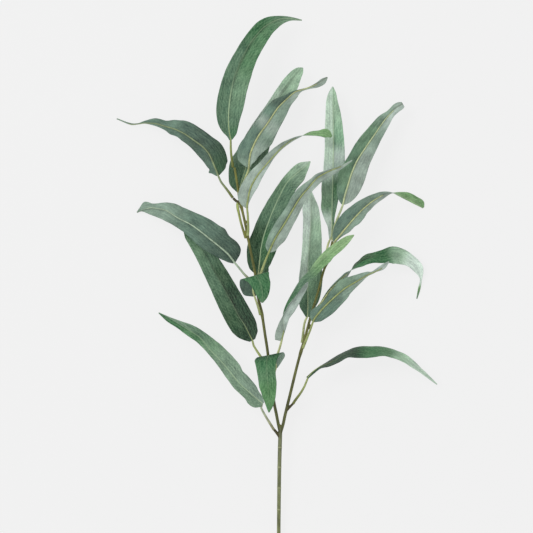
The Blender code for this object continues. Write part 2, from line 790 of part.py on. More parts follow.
def petiole(name, leaf):
    """The leaf's stalk, which runs on as the raised midrib of the underside."""
    grid = leaf_grid(leaf, BLADE_STEPS, STRIPS_PER_HALF)
    normals = grid_normals(grid)
    middle = STRIPS_PER_HALF
    points = [Vector(place) for place in leaf["petiole"]]
    radii = [PETIOLE_RADIUS] * len(points)
    last = int(BLADE_STEPS * leaf.get("reach", MIDRIB_REACH))
    for i in range(last + 1):
        share = i / last
        radius = MIDRIB_RADIUS * (1 - share) + MIDRIB_TIP_RADIUS * share
        reach = BLADE_THICKNESS / 2 + FIT_GAP + radius
        points.append(grid[i][middle] - normals[i][middle] * (leaf["face"] * reach))
        radii.append(radius)
    form = tube(points, radii, 1)
    return finish(name, form, PETIOLE_GREEN, BAR_ROUGHNESS)


def stem():
    """The main stem, both twigs and the short stubs as one solid."""
    bars = []
    for line, steps, first, last in (
        (MAIN_STEM, MAIN_STEM_STEPS, STEM_CUT_RADIUS, COLLAR_RADIUS),
        (LEFT_TWIG, TWIG_STEPS, TWIG_RADIUS, TWIG_TIP_RADIUS),
        (RIGHT_TWIG, TWIG_STEPS, TWIG_RADIUS, TWIG_TIP_RADIUS),
    ):
        radii = [first + (last - first) * i / steps for i in range(steps + 1)]
        bars.append((smooth_path(line, steps), radii))
    for stub in STUBS:
        points = [Vector(place) for place in stub]
        bars.append((points, [STUB_RADIUS, STUB_RADIUS, STUB_TIP_RADIUS]))
    whole = None
    for number, (path, radii) in enumerate(bars):
        form = tube(path, radii, 2)
        if whole is None:
            whole = finish("stem", form, STEM_OLIVE, BAR_ROUGHNESS)
            continue
        helper = finish(f"stem_helper_{number}", form, STEM_OLIVE, BAR_ROUGHNESS)
        helper.hide_render = True
        helper.display_type = "WIRE"
        join = whole.modifiers.new(f"join_{number}", "BOOLEAN")
        join.operation = "UNION"
        join.solver = "EXACT"
        join.object = helper
    return whole


for old in list(bpy.data.objects):
    bpy.data.objects.remove(old)
stem()
for leaf_name, leaf_data in LEAVES.items():
    blade(leaf_name + "_blade", leaf_data)
    petiole(leaf_name + "_petiole", leaf_data)
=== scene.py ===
# Willow branch: a cut spray that forks into two twigs, with twenty long waved leaves on thin
# stalks. It lies on a pale floor, and the camera looks down on it. Lengths of the branch are
# millimetres, X to the right, +Y from the cut end to the tips, Z up from the floor.
import math

import bmesh
import bpy
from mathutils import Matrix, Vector
from mathutils.kdtree import KDTree


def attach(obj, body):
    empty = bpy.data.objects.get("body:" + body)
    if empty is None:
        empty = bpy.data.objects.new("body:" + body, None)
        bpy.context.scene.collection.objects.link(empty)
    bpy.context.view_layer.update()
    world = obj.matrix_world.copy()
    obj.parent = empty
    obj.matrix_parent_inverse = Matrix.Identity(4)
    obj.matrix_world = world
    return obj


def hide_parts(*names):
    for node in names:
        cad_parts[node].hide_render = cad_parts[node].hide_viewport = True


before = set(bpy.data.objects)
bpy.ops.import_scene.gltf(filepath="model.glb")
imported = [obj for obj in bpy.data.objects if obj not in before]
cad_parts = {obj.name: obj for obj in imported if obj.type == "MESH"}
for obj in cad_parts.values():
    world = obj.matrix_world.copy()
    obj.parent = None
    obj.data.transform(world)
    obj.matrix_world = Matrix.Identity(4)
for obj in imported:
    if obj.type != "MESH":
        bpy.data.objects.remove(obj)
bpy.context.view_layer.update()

MM = 0.001


# Stem and twigs. One moulded bar of soft plastic over wire, olive and streaked like bark, that
# forks into two browner twigs with dark stubs where the stalks plug on. Round bars along
# their centre lines are grown together with a fine remesh, so that the forks have fillets.
def linear(text):
    """The linear colour of an sRGB hex value."""
    parts = [int(text[i : i + 2], 16) / 255 for i in (1, 3, 5)]
    return [p / 12.92 if p <= 0.04045 else ((p + 0.055) / 1.055) ** 2.4 for p in parts] + [1.0]


def add(tree, kind, values=(), links=(), out=0, **settings):
    """Adds a node with its settings, input values and links, and gives one of its outputs."""
    node = tree.nodes.new(kind)
    for key, value in settings.items():
        setattr(node, key, value)
    for key, value in dict(values).items():
        node.inputs[key].default_value = value
    for key, source in dict(links).items():
        tree.links.new(source, node.inputs[key])
    return node.outputs[out]


def noise(tree, place, size, detail):
    """A cloudy pattern whose lumps are about the size, in millimetres."""
    values = {"Scale": 1 / (size * MM), "Detail": detail}
    return add(tree, "ShaderNodeTexNoise", values=values, links={0: place})


def remap(tree, source, *ends):
    """Maps a pattern from the range of the first two ends to that of the last two."""
    return add(tree, "ShaderNodeMapRange", values=enumerate(ends, 1), links={0: source})


def new_material(name):
    made = bpy.data.materials.new(name)
    made.use_nodes = True
    return made, made.node_tree, made.node_tree.nodes["Principled BSDF"]


def coat(tree, shader, ink, rough, bump, ior, specular):
    """Links the finished patterns to the shader."""
    tree.links.new(ink, shader.inputs["Base Color"])
    tree.links.new(rough, shader.inputs["Roughness"])
    tree.links.new(bump, shader.inputs["Normal"])
    shader.inputs["IOR"].default_value = ior
    shader.inputs["Specular IOR Level"].default_value = specular


def blend(first, second, share):
    """The values between two lists of them."""
    return [a + (b - a) * share for a, b in zip(first, second)]


def hermite(knots, values, at):
    """A smooth curve through the values at the knots, read at one place."""
    last = len(knots) - 1
    i = 0
    while i < last - 1 and at > knots[i + 1]:
        i += 1
    slopes = []
    for k in (i, i + 1):
        before, after = max(k - 1, 0), min(k + 1, last)
        slopes.append((values[after] - values[before]) / (knots[after] - knots[before]))
    span = knots[i + 1] - knots[i]
    t = (at - knots[i]) / span
    return (
        values[i] * (2 * t**3 - 3 * t**2 + 1)
        + slopes[0] * span * (t**3 - 2 * t**2 + t)
        + values[i + 1] * (3 * t**2 - 2 * t**3)
        + slopes[1] * span * (t**3 - t**2)
    )


def lengths_along(points):
    """How far along the line through them each of the points is."""
    knots = [0.0]
    for a, b in zip(points, points[1:]):
        knots.append(knots[-1] + (Vector(b[:3]) - Vector(a[:3])).length)
    return knots


def smooth_path(points, count):
    """Points spread evenly along a smooth curve through the given ones."""
    knots = lengths_along(points)
    columns = list(zip(*points))
    return [
        Vector([hermite(knots, c, knots[-1] * i / count) for c in columns])
        for i in range(count + 1)
    ]


def round_bar(points, radii, resolution):
    """The mesh of a round bar along the points, in metres, with a radius at each."""
    curve = bpy.data.curves.new("guide", "CURVE")
    curve.dimensions = "3D"
    curve.bevel_depth = MM
    curve.bevel_resolution = resolution
    curve.use_fill_caps = True
    spline = curve.splines.new("POLY")
    spline.points.add(len(points) - 1)
    for spot, place, radius in zip(spline.points, points, radii):
        spot.co = (*(Vector(place) * MM), 1.0)
        spot.radius = radius
    holder = bpy.data.objects.new("guide", curve)
    bpy.context.scene.collection.objects.link(holder)
    bpy.context.view_layer.update()
    graph = bpy.context.evaluated_depsgraph_get()
    mesh = bpy.data.meshes.new_from_object(holder.evaluated_get(graph))
    bpy.data.objects.remove(holder)
    bpy.data.curves.remove(curve)
    return mesh


def tint_mesh(mesh, layer_name, places, colours):
    """Gives each vertex the colour of the nearest of the places, which are in metres."""
    nearest = KDTree(len(places))
    for number, place in enumerate(places):
        nearest.insert(place, number)
    nearest.balance()
    layer = mesh.attributes.new(layer_name, "FLOAT_COLOR", "POINT")
    for vertex, spot in zip(mesh.vertices, layer.data):
        spot.color = colours[nearest.find(vertex.co)[1]]


def piece_of(name, mesh, slot_name, *materials):
    """Puts a finished mesh in the scene in place of the CAD node of its name."""
    for one in materials:
        mesh.materials.append(one)
    mesh.shade_smooth()
    made = bpy.data.objects.new(name + "_look", mesh)
    bpy.context.scene.collection.objects.link(made)
    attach(made, "root")
    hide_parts(name)
    return made


STEM_RINGS = (-169.6, -193.6, -218.8, -245.2)
RING_HEIGHT = 0.22
RING_WIDTH = 0.9
NODE_SWELL = 0.45
NODE_LENGTH = 4.5
STUB_STEPS = 12
BAR_ROUNDNESS = 5
SAME_PLACE = 0.001
BARK_VOXEL = 0.4
BARK_EASE = 0.5
BARK_EASE_ROUNDS = 4
BARK_INKS = {
    "main": "#686e41",
    "fork": "#6a6f52",
    "twig": "#525631",
    "young": "#696a31",
    "strand": "#93a05a",
    "stub": "#454122",
}
STEM_BARS = (
    ("main", "fork", 2.1, 2.5, 200, (
        (2.5, -350.0, 2.1), (2.6, -300.0, 6.0), (3.0, -240.0, 12.0),
        (3.6, -190.0, 17.5), (4.4, -158.0, 21.2), (4.7, -146.0, 22.6),
    )),
    ("twig", "young", 1.95, 1.45, 330, (
        (4.6, -152.0, 21.8), (2.8, -144.4, 23.0), (0.0, -130.0, 25.0),
        (-3.1, -114.4, 27.0), (-6.7, -88.0, 30.0), (-10.9, -52.0, 33.5),
        (-13.3, -36.4, 35.0), (-17.9, -6.4, 38.0), (-21.3, 8.0, 39.0),
        (-25.8, 40.4, 42.0), (-31.8, 70.4, 44.0), (-39.0, 106.4, 45.3),
        (-44.0, 128.0, 45.8), (-47.0, 147.2, 46.2), (-50.4, 167.0, 46.7),
    )),
    ("twig", "young", 1.95, 1.4, 240, (
        (4.9, -152.0, 21.8), (7.9, -142.0, 23.5), (10.5, -130.0, 25.0),
        (16.9, -103.6, 27.5), (26.0, -66.4, 30.5), (33.5, -40.0, 32.5),
        (39.4, -18.4, 33.7), (43.4, -4.0, 34.3), (51.2, 22.4, 35.5),
        (54.2, 34.4, 35.8), (57.9, 46.4, 36.0), (61.6, 53.6, 36.2),
        (64.2, 62.0, 36.4), (66.0, 72.8, 36.6), (67.2, 78.8, 36.8),
    )),
    ("stub", "stub", 2.0, 1.6, STUB_STEPS, (
        (4.2, -157.4, 21.0), (0.6, -152.4, 21.9), (-3.0, -148.0, 23.0),
    )),
    ("stub", "stub", 1.7, 1.55, STUB_STEPS, (
        (-44.6, 124.8, 45.6), (-48.6, 127.0, 45.0), (-52.0, 130.2, 44.2),
    )),
    ("stub", "stub", 1.7, 1.45, STUB_STEPS, (
        (11.6, -125.6, 25.3), (15.6, -121.2, 25.8), (19.9, -116.8, 26.2),
    )),
    ("twig", "twig", 1.6, 1.35, STUB_STEPS, (
        (38.0, -26.0, 33.1), (40.4, -24.0, 33.8), (42.4, -21.8, 34.4),
    )),
    ("young", "young", 1.35, 1.2, STUB_STEPS, (
        (-37.6, 98.0, 45.0), (-36.6, 101.0, 45.6), (-35.9, 103.2, 46.2),
    )),
    ("young", "strand", 1.5, 1.5, 30, (
        (-36.8, 82.0, 45.1), (-39.6, 90.6, 45.4), (-42.8, 101.6, 45.3),
        (-45.2, 112.4, 45.2), (-46.6, 119.0, 45.2), (-46.9, 124.0, 45.2),
    )),
    ("fork", "young", 1.35, 1.2, STUB_STEPS, (
        (4.6, -148.0, 22.6), (4.2, -144.2, 23.4), (4.0, -142.0, 24.0),
    )),
)
STALK_FEET = (
    (-5.0, -84.0), (-11.6, -67.4), (-26.2, 25.0), (-19.4, -9.6), (-20.2, 15.0),
    (-22.2, 29.6), (-33.0, 86.0), (-42.8, 119.0), (-42.4, 132.0), (-5.6, -70.4),
    (30.2, -55.0), (27.2, -47.5), (43.4, -8.6), (59.2, 56.6), (66.0, 68.0),
)

bark = bmesh.new()
bark_places = []
bark_tints = []
for first_ink, last_ink, first_radius, last_radius, count, line in STEM_BARS:
    path = smooth_path(line, count)
    radii = []
    for i, place in enumerate(path):
        share = i / count
        radius = first_radius + (last_radius - first_radius) * share
        for ring in STEM_RINGS:
            radius += RING_HEIGHT * math.exp(-(((place.y - ring) / RING_WIDTH) ** 2))
        # Only the long bars swell where a stalk leaves them.
        if count > 2 * STUB_STEPS:
            for foot in STALK_FEET:
                away = (place.xy - Vector(foot)).length / NODE_LENGTH
                radius += NODE_SWELL * math.exp(-away * away)
        radii.append(radius)
        bark_places.append(place * MM)
        bark_tints.append(blend(linear(BARK_INKS[first_ink]), linear(BARK_INKS[last_ink]), share))
    bark.from_mesh(round_bar(path, radii, BAR_ROUNDNESS))
bmesh.ops.remove_doubles(bark, verts=bark.verts, dist=SAME_PLACE * MM)
rough_bark = bpy.data.meshes.new("rough_bark")
bark.to_mesh(rough_bark)
bark.free()
holder = bpy.data.objects.new("rough_bark", rough_bark)
bpy.context.scene.collection.objects.link(holder)
grown = holder.modifiers.new("grown", "REMESH")
grown.mode = "VOXEL"
grown.voxel_size = BARK_VOXEL * MM
eased = holder.modifiers.new("eased", "SMOOTH")
eased.factor = BARK_EASE
eased.iterations = BARK_EASE_ROUNDS
bpy.context.view_layer.update()
stem_mesh = bpy.data.meshes.new_from_object(
    holder.evaluated_get(bpy.context.evaluated_depsgraph_get())
)
stem_mesh.name = "stem_look"
bpy.data.objects.remove(holder)
tint_mesh(stem_mesh, "bark_tint", bark_places, bark_tints)

# Moulded PE: a satin skin with lengthwise streaks and fine pits from the mould, paler rings
# where the mould's sections meet, and a pale cut face at the foot.
STREAK_MM = 1.1
PIT_MM = 0.7
BLOTCH_MM = 14.0
STREAK_SQUEEZE = 0.07
SEAM_HALF = 0.7
SEAM_STRENGTH = 0.55
SEAM_INK = "#a9ac86"
CUT_Y = -349.85
CUT_INK = "#c3b98f"
PIT_DEPTH = 0.2
moulded_pe, tree, shader = new_material("moulded_pe_bark")
place = add(tree, "ShaderNodeTexCoord", out="Object")
along = add(tree, "ShaderNodeSeparateXYZ", links={0: place}, out="Y")
tint = add(tree, "ShaderNodeAttribute", attribute_name="bark_tint", out="Color")
stretched = add(
    tree,
    "ShaderNodeMapping",
    values={"Scale": (1.0, STREAK_SQUEEZE, 1.0)},
    links={"Vector": place},
)
streaks = noise(tree, stretched, STREAK_MM, 3.0)
pits = noise(tree, place, PIT_MM, 2.0)
blotches = noise(tree, place, BLOTCH_MM, 2.0)
gain = remap(tree, streaks, 0.3, 0.7, 0.6, 1.45)
patch = remap(tree, blotches, 0.35, 0.65, 0.82, 1.2)
gain = add(tree, "ShaderNodeMath", operation="MULTIPLY", links={0: gain, 1: patch})
skin = add(
    tree, "ShaderNodeVectorMath", operation="SCALE", links={0: tint, "Scale": gain}
)
for ring in STEM_RINGS:
    seam = add(
        tree,
        "ShaderNodeMath",
        operation="COMPARE",
        values={1: ring * MM, 2: SEAM_HALF * MM},
        links={0: along},
    )
    seam = add(
        tree, "ShaderNodeMath", operation="MULTIPLY", values={1: SEAM_STRENGTH}, links={0: seam}
    )
    skin = add(
        tree,
        "ShaderNodeMix",
        data_type="RGBA",
        values={7: linear(SEAM_INK)},
        links={0: seam, 6: skin},
        out=2,
    )
cut = add(
    tree, "ShaderNodeMath", operation="LESS_THAN", values={1: CUT_Y * MM}, links={0: along}
)
skin = add(
    tree,
    "ShaderNodeMix",
    data_type="RGBA",
    values={7: linear(CUT_INK)},
    links={0: cut, 6: skin},
    out=2,
)
rough = remap(tree, pits, 0.3, 0.7, 0.42, 0.62)
height = add(tree, "ShaderNodeMath", operation="ADD", links={0: streaks, 1: pits})
bump = add(
    tree,
    "ShaderNodeBump",
    values={"Strength": 0.5, "Distance": PIT_DEPTH * MM},
    links={"Height": height},
)
coat(tree, shader, skin, rough, bump, ior=1.5, specular=0.35)
piece_of("stem", stem_mesh, "stem", moulded_pe)


# Stalks. Each is a thin sleeve of yellow-green PE pushed on its stub, and it runs on under
# the blade as the raised midrib. It is a tapered bar, thickest at the foot, whose tint is
# read from a colour layer, as the sleeves differ a little.
SLEEVE_STEPS = 24
SLEEVE_ROUNDNESS = 3
STALK_FOOT_RADIUS = 1.65
STALK_RADIUS = 1.3
MIDRIB_RADIUS = 1.15
MIDRIB_TIP_RADIUS = 0.45
MIDRIB_TAPER = 0.8
MIDRIB_SINK = 0.45
SLEEVE_INKS = {
    "olive": "#61662b",
    "green": "#828f4f",
    "fresh": "#919c62",
    "straw": "#b0b782",
    "celery": "#b2be92",
    "reed": "#7d8c66",
    "frond": "#9db097",
    "grey": "#a6b398",
    "tan": "#8f8c68",
}

# Moulded PE again, thinner and a little glossier: cloudy where its wall is uneven, with soft
# pits from the mould.
SLEEVE_PIT_MM = 1.3
SLEEVE_CLOUD_MM = 6.0
SLEEVE_PIT_DEPTH = 0.15
sleeve_pe, tree, shader = new_material("moulded_pe_sleeve")
place = add(tree, "ShaderNodeTexCoord", out="Object")
skin = add(tree, "ShaderNodeAttribute", attribute_name="sleeve_tint", out="Color")
clouds = noise(tree, place, SLEEVE_CLOUD_MM, 3.0)
pits = noise(tree, place, SLEEVE_PIT_MM, 2.0)
gain = remap(tree, clouds, 0.3, 0.7, 0.72, 1.22)
skin = add(
    tree, "ShaderNodeVectorMath", operation="SCALE", links={0: skin, "Scale": gain}
)
rough = remap(tree, pits, 0.3, 0.7, 0.38, 0.55)
bump = add(
    tree,
    "ShaderNodeBump",
    values={"Strength": 0.35, "Distance": SLEEVE_PIT_DEPTH * MM},
    links={"Height": pits},
)
coat(tree, shader, skin, rough, bump, ior=1.5, specular=0.35)


def stalk(name, face, petiole, middle, normals, reach, sleeve):
    """The sleeve from its foot to the blade's base, then the midrib as far as it shows."""
    start, base, tip = [linear(SLEEVE_INKS[ink]) for ink in sleeve]
    points = smooth_path(petiole, SLEEVE_STEPS)
    radii = []
    tints = []
    for i in range(SLEEVE_STEPS + 1):
        share = i / SLEEVE_STEPS
        flare = math.cos(share * math.pi / 2) ** 2
        radii.append(STALK_RADIUS + (STALK_FOOT_RADIUS - STALK_RADIUS) * flare)
        tints.append(blend(start, base, share))
    last = int((len(middle) - 1) * reach)
    for i in range(1, last + 1):
        share = i / last
        thick = (1 - share) ** MIDRIB_TAPER
        radius = MIDRIB_TIP_RADIUS + (MIDRIB_RADIUS - MIDRIB_TIP_RADIUS) * thick
        tints.append(blend(base, tip, min(2 * share, 1.0)))
        lift = CLOTH_THICKNESS / 2 + MIDRIB_SINK * radius
        points.append(middle[i] - normals[i] * (face * lift))
        radii.append(radius)
    mesh = round_bar(points, radii, SLEEVE_ROUNDNESS)
    mesh.name = name + "_look"
    form = bmesh.new()
    form.from_mesh(mesh)
    bmesh.ops.remove_doubles(form, verts=form.verts, dist=SAME_PLACE * MM)
    bmesh.ops.recalc_face_normals(form, faces=form.faces)
    form.to_mesh(mesh)
    form.free()
    tint_mesh(mesh, "sleeve_tint", [place * MM for place in points], tints)
    piece_of(name, mesh, "petiole", sleeve_pe)


# Blades. Each is printed polyester cloth pressed in a mould: green with lengthwise fibres and
# a pale midrib on the top, and a smoother grey-green underneath. A grid is laid along the
# midrib, its edges stand and turn as the table says, and it gets a thickness.
CLOTH_THICKNESS = 0.5
BLADE_STEPS = 88
STRIPS_PER_HALF = 12
CUP_SLOPE = 0.25
CUP_STRAIGHT = 0.6
CUP_BEND = 0.4
WAVE_HEIGHT = 1.3
WAVES_PER_LEAF = 3.0
RIPPLE_HEIGHT = 0.22
RIPPLE_MM = 9.0
NICK_MM = 3.3
NICK_BEAT_MM = 11
FRAY = 0.7
FRAY_MM = 1.9
FRAY_BEAT_MM = 8
NARROW_MM = 5.0
SIGHT_AHEAD = 1.0
FLOOR_GAP = 0.55
# How far from the midrib the painted shade of the fold reaches.
FOLD_SHADE_MM = 2.2
INK_BLEND = 0.1
INKS = {
    "deep": "#284230",
    "forest": "#3a563d",
    "leaf": "#3f6c47",
    "grass": "#517855",
    "moss": "#58765e",
    "bottle": "#48644c",
    "clover": "#598758",
    "fern": "#68876b",
    "sage": "#769079",
    "spring": "#749a69",
    "lime": "#8bae7c",
    "jade": "#82a98a",
    "mint": "#96b398",
    "pale": "#b4cab7",
    "frost": "#cfe0d4",
    "dusk": "#465a4e",
    "slate": "#5f7869",
    "haze": "#809686",
    "mist": "#95a599",
    "ash": "#aabab0",
}
# A blade's inks are partly its print and partly painted light and shade: the two halves of a fold
# often get a lighter and a darker ink as they tilt to the light, some undersides are darker where
# they face away from it, and some stops are inked paler to make up for the shade of the leaves
# above.
PLAIN_TOP = ((0.0, "forest", "forest"), (0.5, "leaf", "leaf"), (1.0, "grass", "grass"))
PLAIN_BACK = ((0.0, "slate", "slate"), (1.0, "slate", "slate"))

# Printed cloth: matt polyester whose ink is a little cloudy, broken by lengthwise streaks and
# a fine weave, with slanting side veins and a pale midrib that are part of the print.
STREAK_LENGTH = 15.0
STREAK_STRETCH = 9.0
GRAIN_MM = 2.6
GRAIN_STRETCH = 1.9
VEIN_MM = 5.5
VEIN_SLANT = 1.25
VEIN_WOBBLE = 6
RIB_CORE = 0.3
RIB_EDGE = 0.95
WEAVE_DEPTH = 0.25
FLECK_GAIN = (1.6, 1.6, 1.6)
FLECK_BASE = (0.4, 0.5, 0.31)
DARKEST = (0.012, 0.02, 0.012)


def cloth(name, layer, cloud_mm, cloud_low, cloud_high, grain, vein_gain, rib_ink):
    """Printed cloth that reads its ink, with the painted light and shade mixed in, from a colour
    layer and lies along the blade.
    """
    made, tree, shader = new_material(name)
    place = add(tree, "ShaderNodeTexCoord", out="Object")
    flat = add(tree, "ShaderNodeUVMap", uv_map="cloth")
    along = add(tree, "ShaderNodeSeparateXYZ", links={0: flat}, out="X")
    across = along.node.outputs["Y"]
    away = add(tree, "ShaderNodeMath", operation="ABSOLUTE", links={0: across})
    tint = add(tree, "ShaderNodeAttribute", attribute_name=layer, out="Color")
    clouds = noise(tree, place, cloud_mm, 3.0)
    drawn = add(
        tree,
        "ShaderNodeMapping",
        values={"Scale": (1.0, STREAK_STRETCH, 1.0)},
        links={"Vector": flat},
    )
    streaks = noise(tree, drawn, STREAK_LENGTH, 3.0)
    gain = remap(tree, clouds, 0.32, 0.68, cloud_low, cloud_high)
    laid = add(
        tree,
        "ShaderNodeMapping",
        values={"Scale": (1.0, GRAIN_STRETCH, 1.0)},
        links={"Vector": flat},
    )
    fibres = add(
        tree,
        "ShaderNodeTexNoise",
        values={"Scale": 1 / (GRAIN_MM * MM), "Detail": 3.0, "Roughness": 0.7},
        links={0: laid},
    )
    fibre = remap(tree, fibres, 0.34, 0.66, -grain, grain)
    streak = remap(tree, streaks, 0.34, 0.66, -grain, grain)
    fibre = add(tree, "ShaderNodeMath", operation="ADD", links={0: fibre, 1: streak})
    slant = add(
        tree,
        "ShaderNodeMath",
        operation="MULTIPLY_ADD",
        values={1: -VEIN_SLANT},
        links={0: away, 2: along},
    )
    slant = add(
        tree,
        "ShaderNodeMath",
        operation="MULTIPLY_ADD",
        values={1: VEIN_WOBBLE * MM},
        links={0: streaks, 2: slant},
    )
    turns = add(
        tree,
        "ShaderNodeMath",
        operation="MULTIPLY",
        values={1: 2 * math.pi / (VEIN_MM * MM)},
        links={0: slant},
    )
    waves = add(tree, "ShaderNodeMath", operation="SINE", links={0: turns})
    vein = remap(tree, waves, 0.55, 1.0, 0.0, 1.0)
    fibre = add(
        tree,
        "ShaderNodeMath",
        operation="MULTIPLY_ADD",
        values={1: vein_gain},
        links={0: vein, 2: fibre},
    )
    ink = add(
        tree, "ShaderNodeVectorMath", operation="SCALE", links={0: tint, "Scale": gain}
    )
    fleck = add(
        tree,
        "ShaderNodeVectorMath",
        operation="MULTIPLY_ADD",
        values={1: FLECK_GAIN, 2: FLECK_BASE},
        links={0: tint},
    )
    flecks = add(
        tree, "ShaderNodeVectorMath", operation="SCALE", links={0: fleck, "Scale": fibre}
    )
    ink = add(tree, "ShaderNodeVectorMath", operation="ADD", links={0: ink, 1: flecks})
    ink = add(
        tree, "ShaderNodeVectorMath", operation="MAXIMUM", values={1: DARKEST}, links={0: ink}
    )
    printed = add(tree, "ShaderNodeAttribute", attribute_name="rib", out="Fac")
    line = remap(tree, away, RIB_CORE * MM, RIB_EDGE * MM, 1.0, 0.0)
    rib = add(tree, "ShaderNodeMath", operation="MULTIPLY", links={0: line, 1: printed})
    ink = add(
        tree,
        "ShaderNodeMix",
        data_type="RGBA",
        values={7: linear(rib_ink)},
        links={0: rib, 6: ink},
        out=2,
    )
    rough = remap(tree, fibres, 0.3, 0.7, 0.52, 0.74)
    height = add(
        tree,
        "ShaderNodeMath",
        operation="MULTIPLY_ADD",
        values={1: 0.5},
        links={0: vein, 2: fibres},
    )
    bump = add(
        tree,
        "ShaderNodeBump",
        values={"Strength": 0.45, "Distance": WEAVE_DEPTH * MM},
        links={"Height": height},
    )
    coat(tree, shader, ink, rough, bump, ior=1.45, specular=0.25)
    shader.inputs["Sheen Weight"].default_value = 0.08
    return made


cloth_top = cloth("printed_cloth_top", "top_ink_and_shade", 11.0, 0.86, 1.14, 0.064, 0.055, "#b4cca4")
cloth_back = cloth("printed_cloth_back", "back_ink_and_shade", 13.0, 0.78, 1.22, 0.044, 0.025, "#a8b088")


def ink_at(stops, share, side):
    """The linear colour at a share of the length, between the stops and across the midrib."""
    for (a, *first), (b, *second) in zip(stops, stops[1:]):
        if share <= b or b == stops[-1][0]:
            t = min(max((share - a) / (b - a), 0.0), 1.0)
            t = t * t * (3 - 2 * t)
            break
    halves = [blend(linear(INKS[one]), linear(INKS[two]), t) for one, two in zip(first, second)]
    return blend(*halves, min(max(side / INK_BLEND * 0.5 + 0.5, 0.0), 1.0))


def spread(values, share):
    """The value at a share of the length, between values that stand evenly along it."""
    place = share * (len(values) - 1)
    i = min(int(place), max(len(values) - 2, 0))
    return values[i] + (values[min(i + 1, len(values) - 1)] - values[i]) * (place - i)


def leaf(
    name,
    face,
    phase,
    petiole,
    rows,
    top=PLAIN_TOP,
    back=PLAIN_BACK,
    across=None,
    reach=0.86,
    rib=(0.3, 0.1),
    # Strengths of the shade painted beside the midrib, on the left and right halves.
    fold_shade=((0.12,), (0.12,)),
    ragged=0.1,
    sleeve=("green", "straw", "straw"),
):
    """One blade and its stalk. A row is the midrib's place, how far the left and right edges
    stand from it as seen from above, and, where given, their heights over it. The strengths of
    the printed rib, and of the shade painted into the ink beside the midrib on each half, are
    spread evenly along the blade."""
    table = []
    for row in rows:
        lifts = row[5:] if len(row) == 7 else [face * CUP_SLOPE * abs(d) for d in row[3:5]]
        table.append(tuple(row[:5]) + tuple(lifts))
    knots = lengths_along(table)
    columns = list(zip(*table))
    length = knots[-1]
    stations = []
    for i in range(BLADE_STEPS + 1):
        even = i / BLADE_STEPS
        share = 0.5 * even + 0.5 * (0.5 - 0.5 * math.cos(math.pi * even))
        at = length * share
        values = [hermite(knots, c, at) for c in columns]
        ahead, behind = min(at + SIGHT_AHEAD, length), max(at - SIGHT_AHEAD, 0.0)
        along = Vector([hermite(knots, c, ahead) - hermite(knots, c, behind) for c in columns[:3]])
        side = Vector(across or (-along.y, along.x, 0.0))
        side.z = 0.0
        stations.append((share, at, values, side.normalized()))
    form = bmesh.new()
    bmesh.ops.create_grid(form, x_segments=BLADE_STEPS, y_segments=2 * STRIPS_PER_HALF, size=0.5)
    flat = form.loops.layers.uv.new("cloth")
    shaded_ink_layers = [form.verts.layers.float_color.new(key) for key in ("top_ink_and_shade", "back_ink_and_shade")]
    printed = form.verts.layers.float.new("rib")
    middle = {}
    spots = {}
    for vertex in form.verts:
        i = round((vertex.co.x + 0.5) * BLADE_STEPS)
        j = round(vertex.co.y * 2 * STRIPS_PER_HALF)
        share, at, (x, y, z, left, right, lift_left, lift_right), side = stations[i]
        v = abs(j) / STRIPS_PER_HALF
        seen, lift, turn = (left, lift_left, 1) if j > 0 else (right, lift_right, -1)
        wobble = math.sin(at / NICK_MM + 3 * phase + turn)
        wobble *= math.sin(at / NICK_BEAT_MM + phase - turn)
        fray = FRAY * math.sin(at / FRAY_MM + 5 * phase - 2 * turn)
        wobble += fray * math.sin(at / FRAY_BEAT_MM + 2 * phase + turn)
        seen *= 1 + ragged * wobble * math.sin(math.pi * share) / max(abs(seen), NARROW_MM)
        wave = WAVE_HEIGHT * math.sin(2 * math.pi * WAVES_PER_LEAF * share + phase)
        wave += RIPPLE_HEIGHT * math.sin(2 * math.pi * at / RIPPLE_MM + 2 * turn + phase)
        wave *= math.sin(math.pi * share)
        up = lift * (CUP_STRAIGHT * v + CUP_BEND * v * v) + turn * wave * v * v
        spot = Vector((x, y, z)) + side * (turn * seen * v) + Vector((0, 0, up))
        spot.z = max(spot.z, FLOOR_GAP * CLOTH_THICKNESS)
        spots[vertex.index] = (at, turn * v * math.hypot(seen, lift))
        vertex.co = spot * MM
        # Painted shade: each half's ink darkens beside the midrib, standing in for the shade of the
        # fold and of the raised midrib.
        fold_shades = [spread(half, share) for half in fold_shade]
        shade_depth = fold_shades[0] if j > 0 else fold_shades[1] if j < 0 else 0.5 * sum(fold_shades)
        shade = 1 - shade_depth * math.exp(-((spots[vertex.index][1] / FOLD_SHADE_MM) ** 2))
        for layer, stops in zip(shaded_ink_layers, (top, back)):
            colour = ink_at(stops, share, -turn * v)
            vertex[layer] = [c * shade for c in colour[:3]] + [1.0]
        vertex[printed] = spread(rib, share)
        if j == 0:
            middle[i] = vertex
    form.verts.ensure_lookup_table()
    for face_made in form.faces:
        for loop in face_made.loops:
            at, away = spots[loop.vert.index]
            loop[flat].uv = (at * MM, away * MM)
    form.normal_update()
    order = [middle[i] for i in range(BLADE_STEPS + 1)]
    centres = [v.co / MM for v in order]
    normals = [v.normal.copy() for v in order]
    mesh = bpy.data.meshes.new(name + "_blade_look")
    form.to_mesh(mesh)
    form.free()
    sides = (cloth_top, cloth_back) if face > 0 else (cloth_back, cloth_top)
    slot_name = "blade_top" if face > 0 else "blade_underside"
    made = piece_of(name + "_blade", mesh, slot_name, *sides)
    shell = made.modifiers.new("thickness", "SOLIDIFY")
    shell.thickness = CLOTH_THICKNESS * MM
    shell.offset = 0.0
    shell.material_offset = 1
    stalk(name + "_petiole", face, petiole, centres, normals, reach, sleeve)
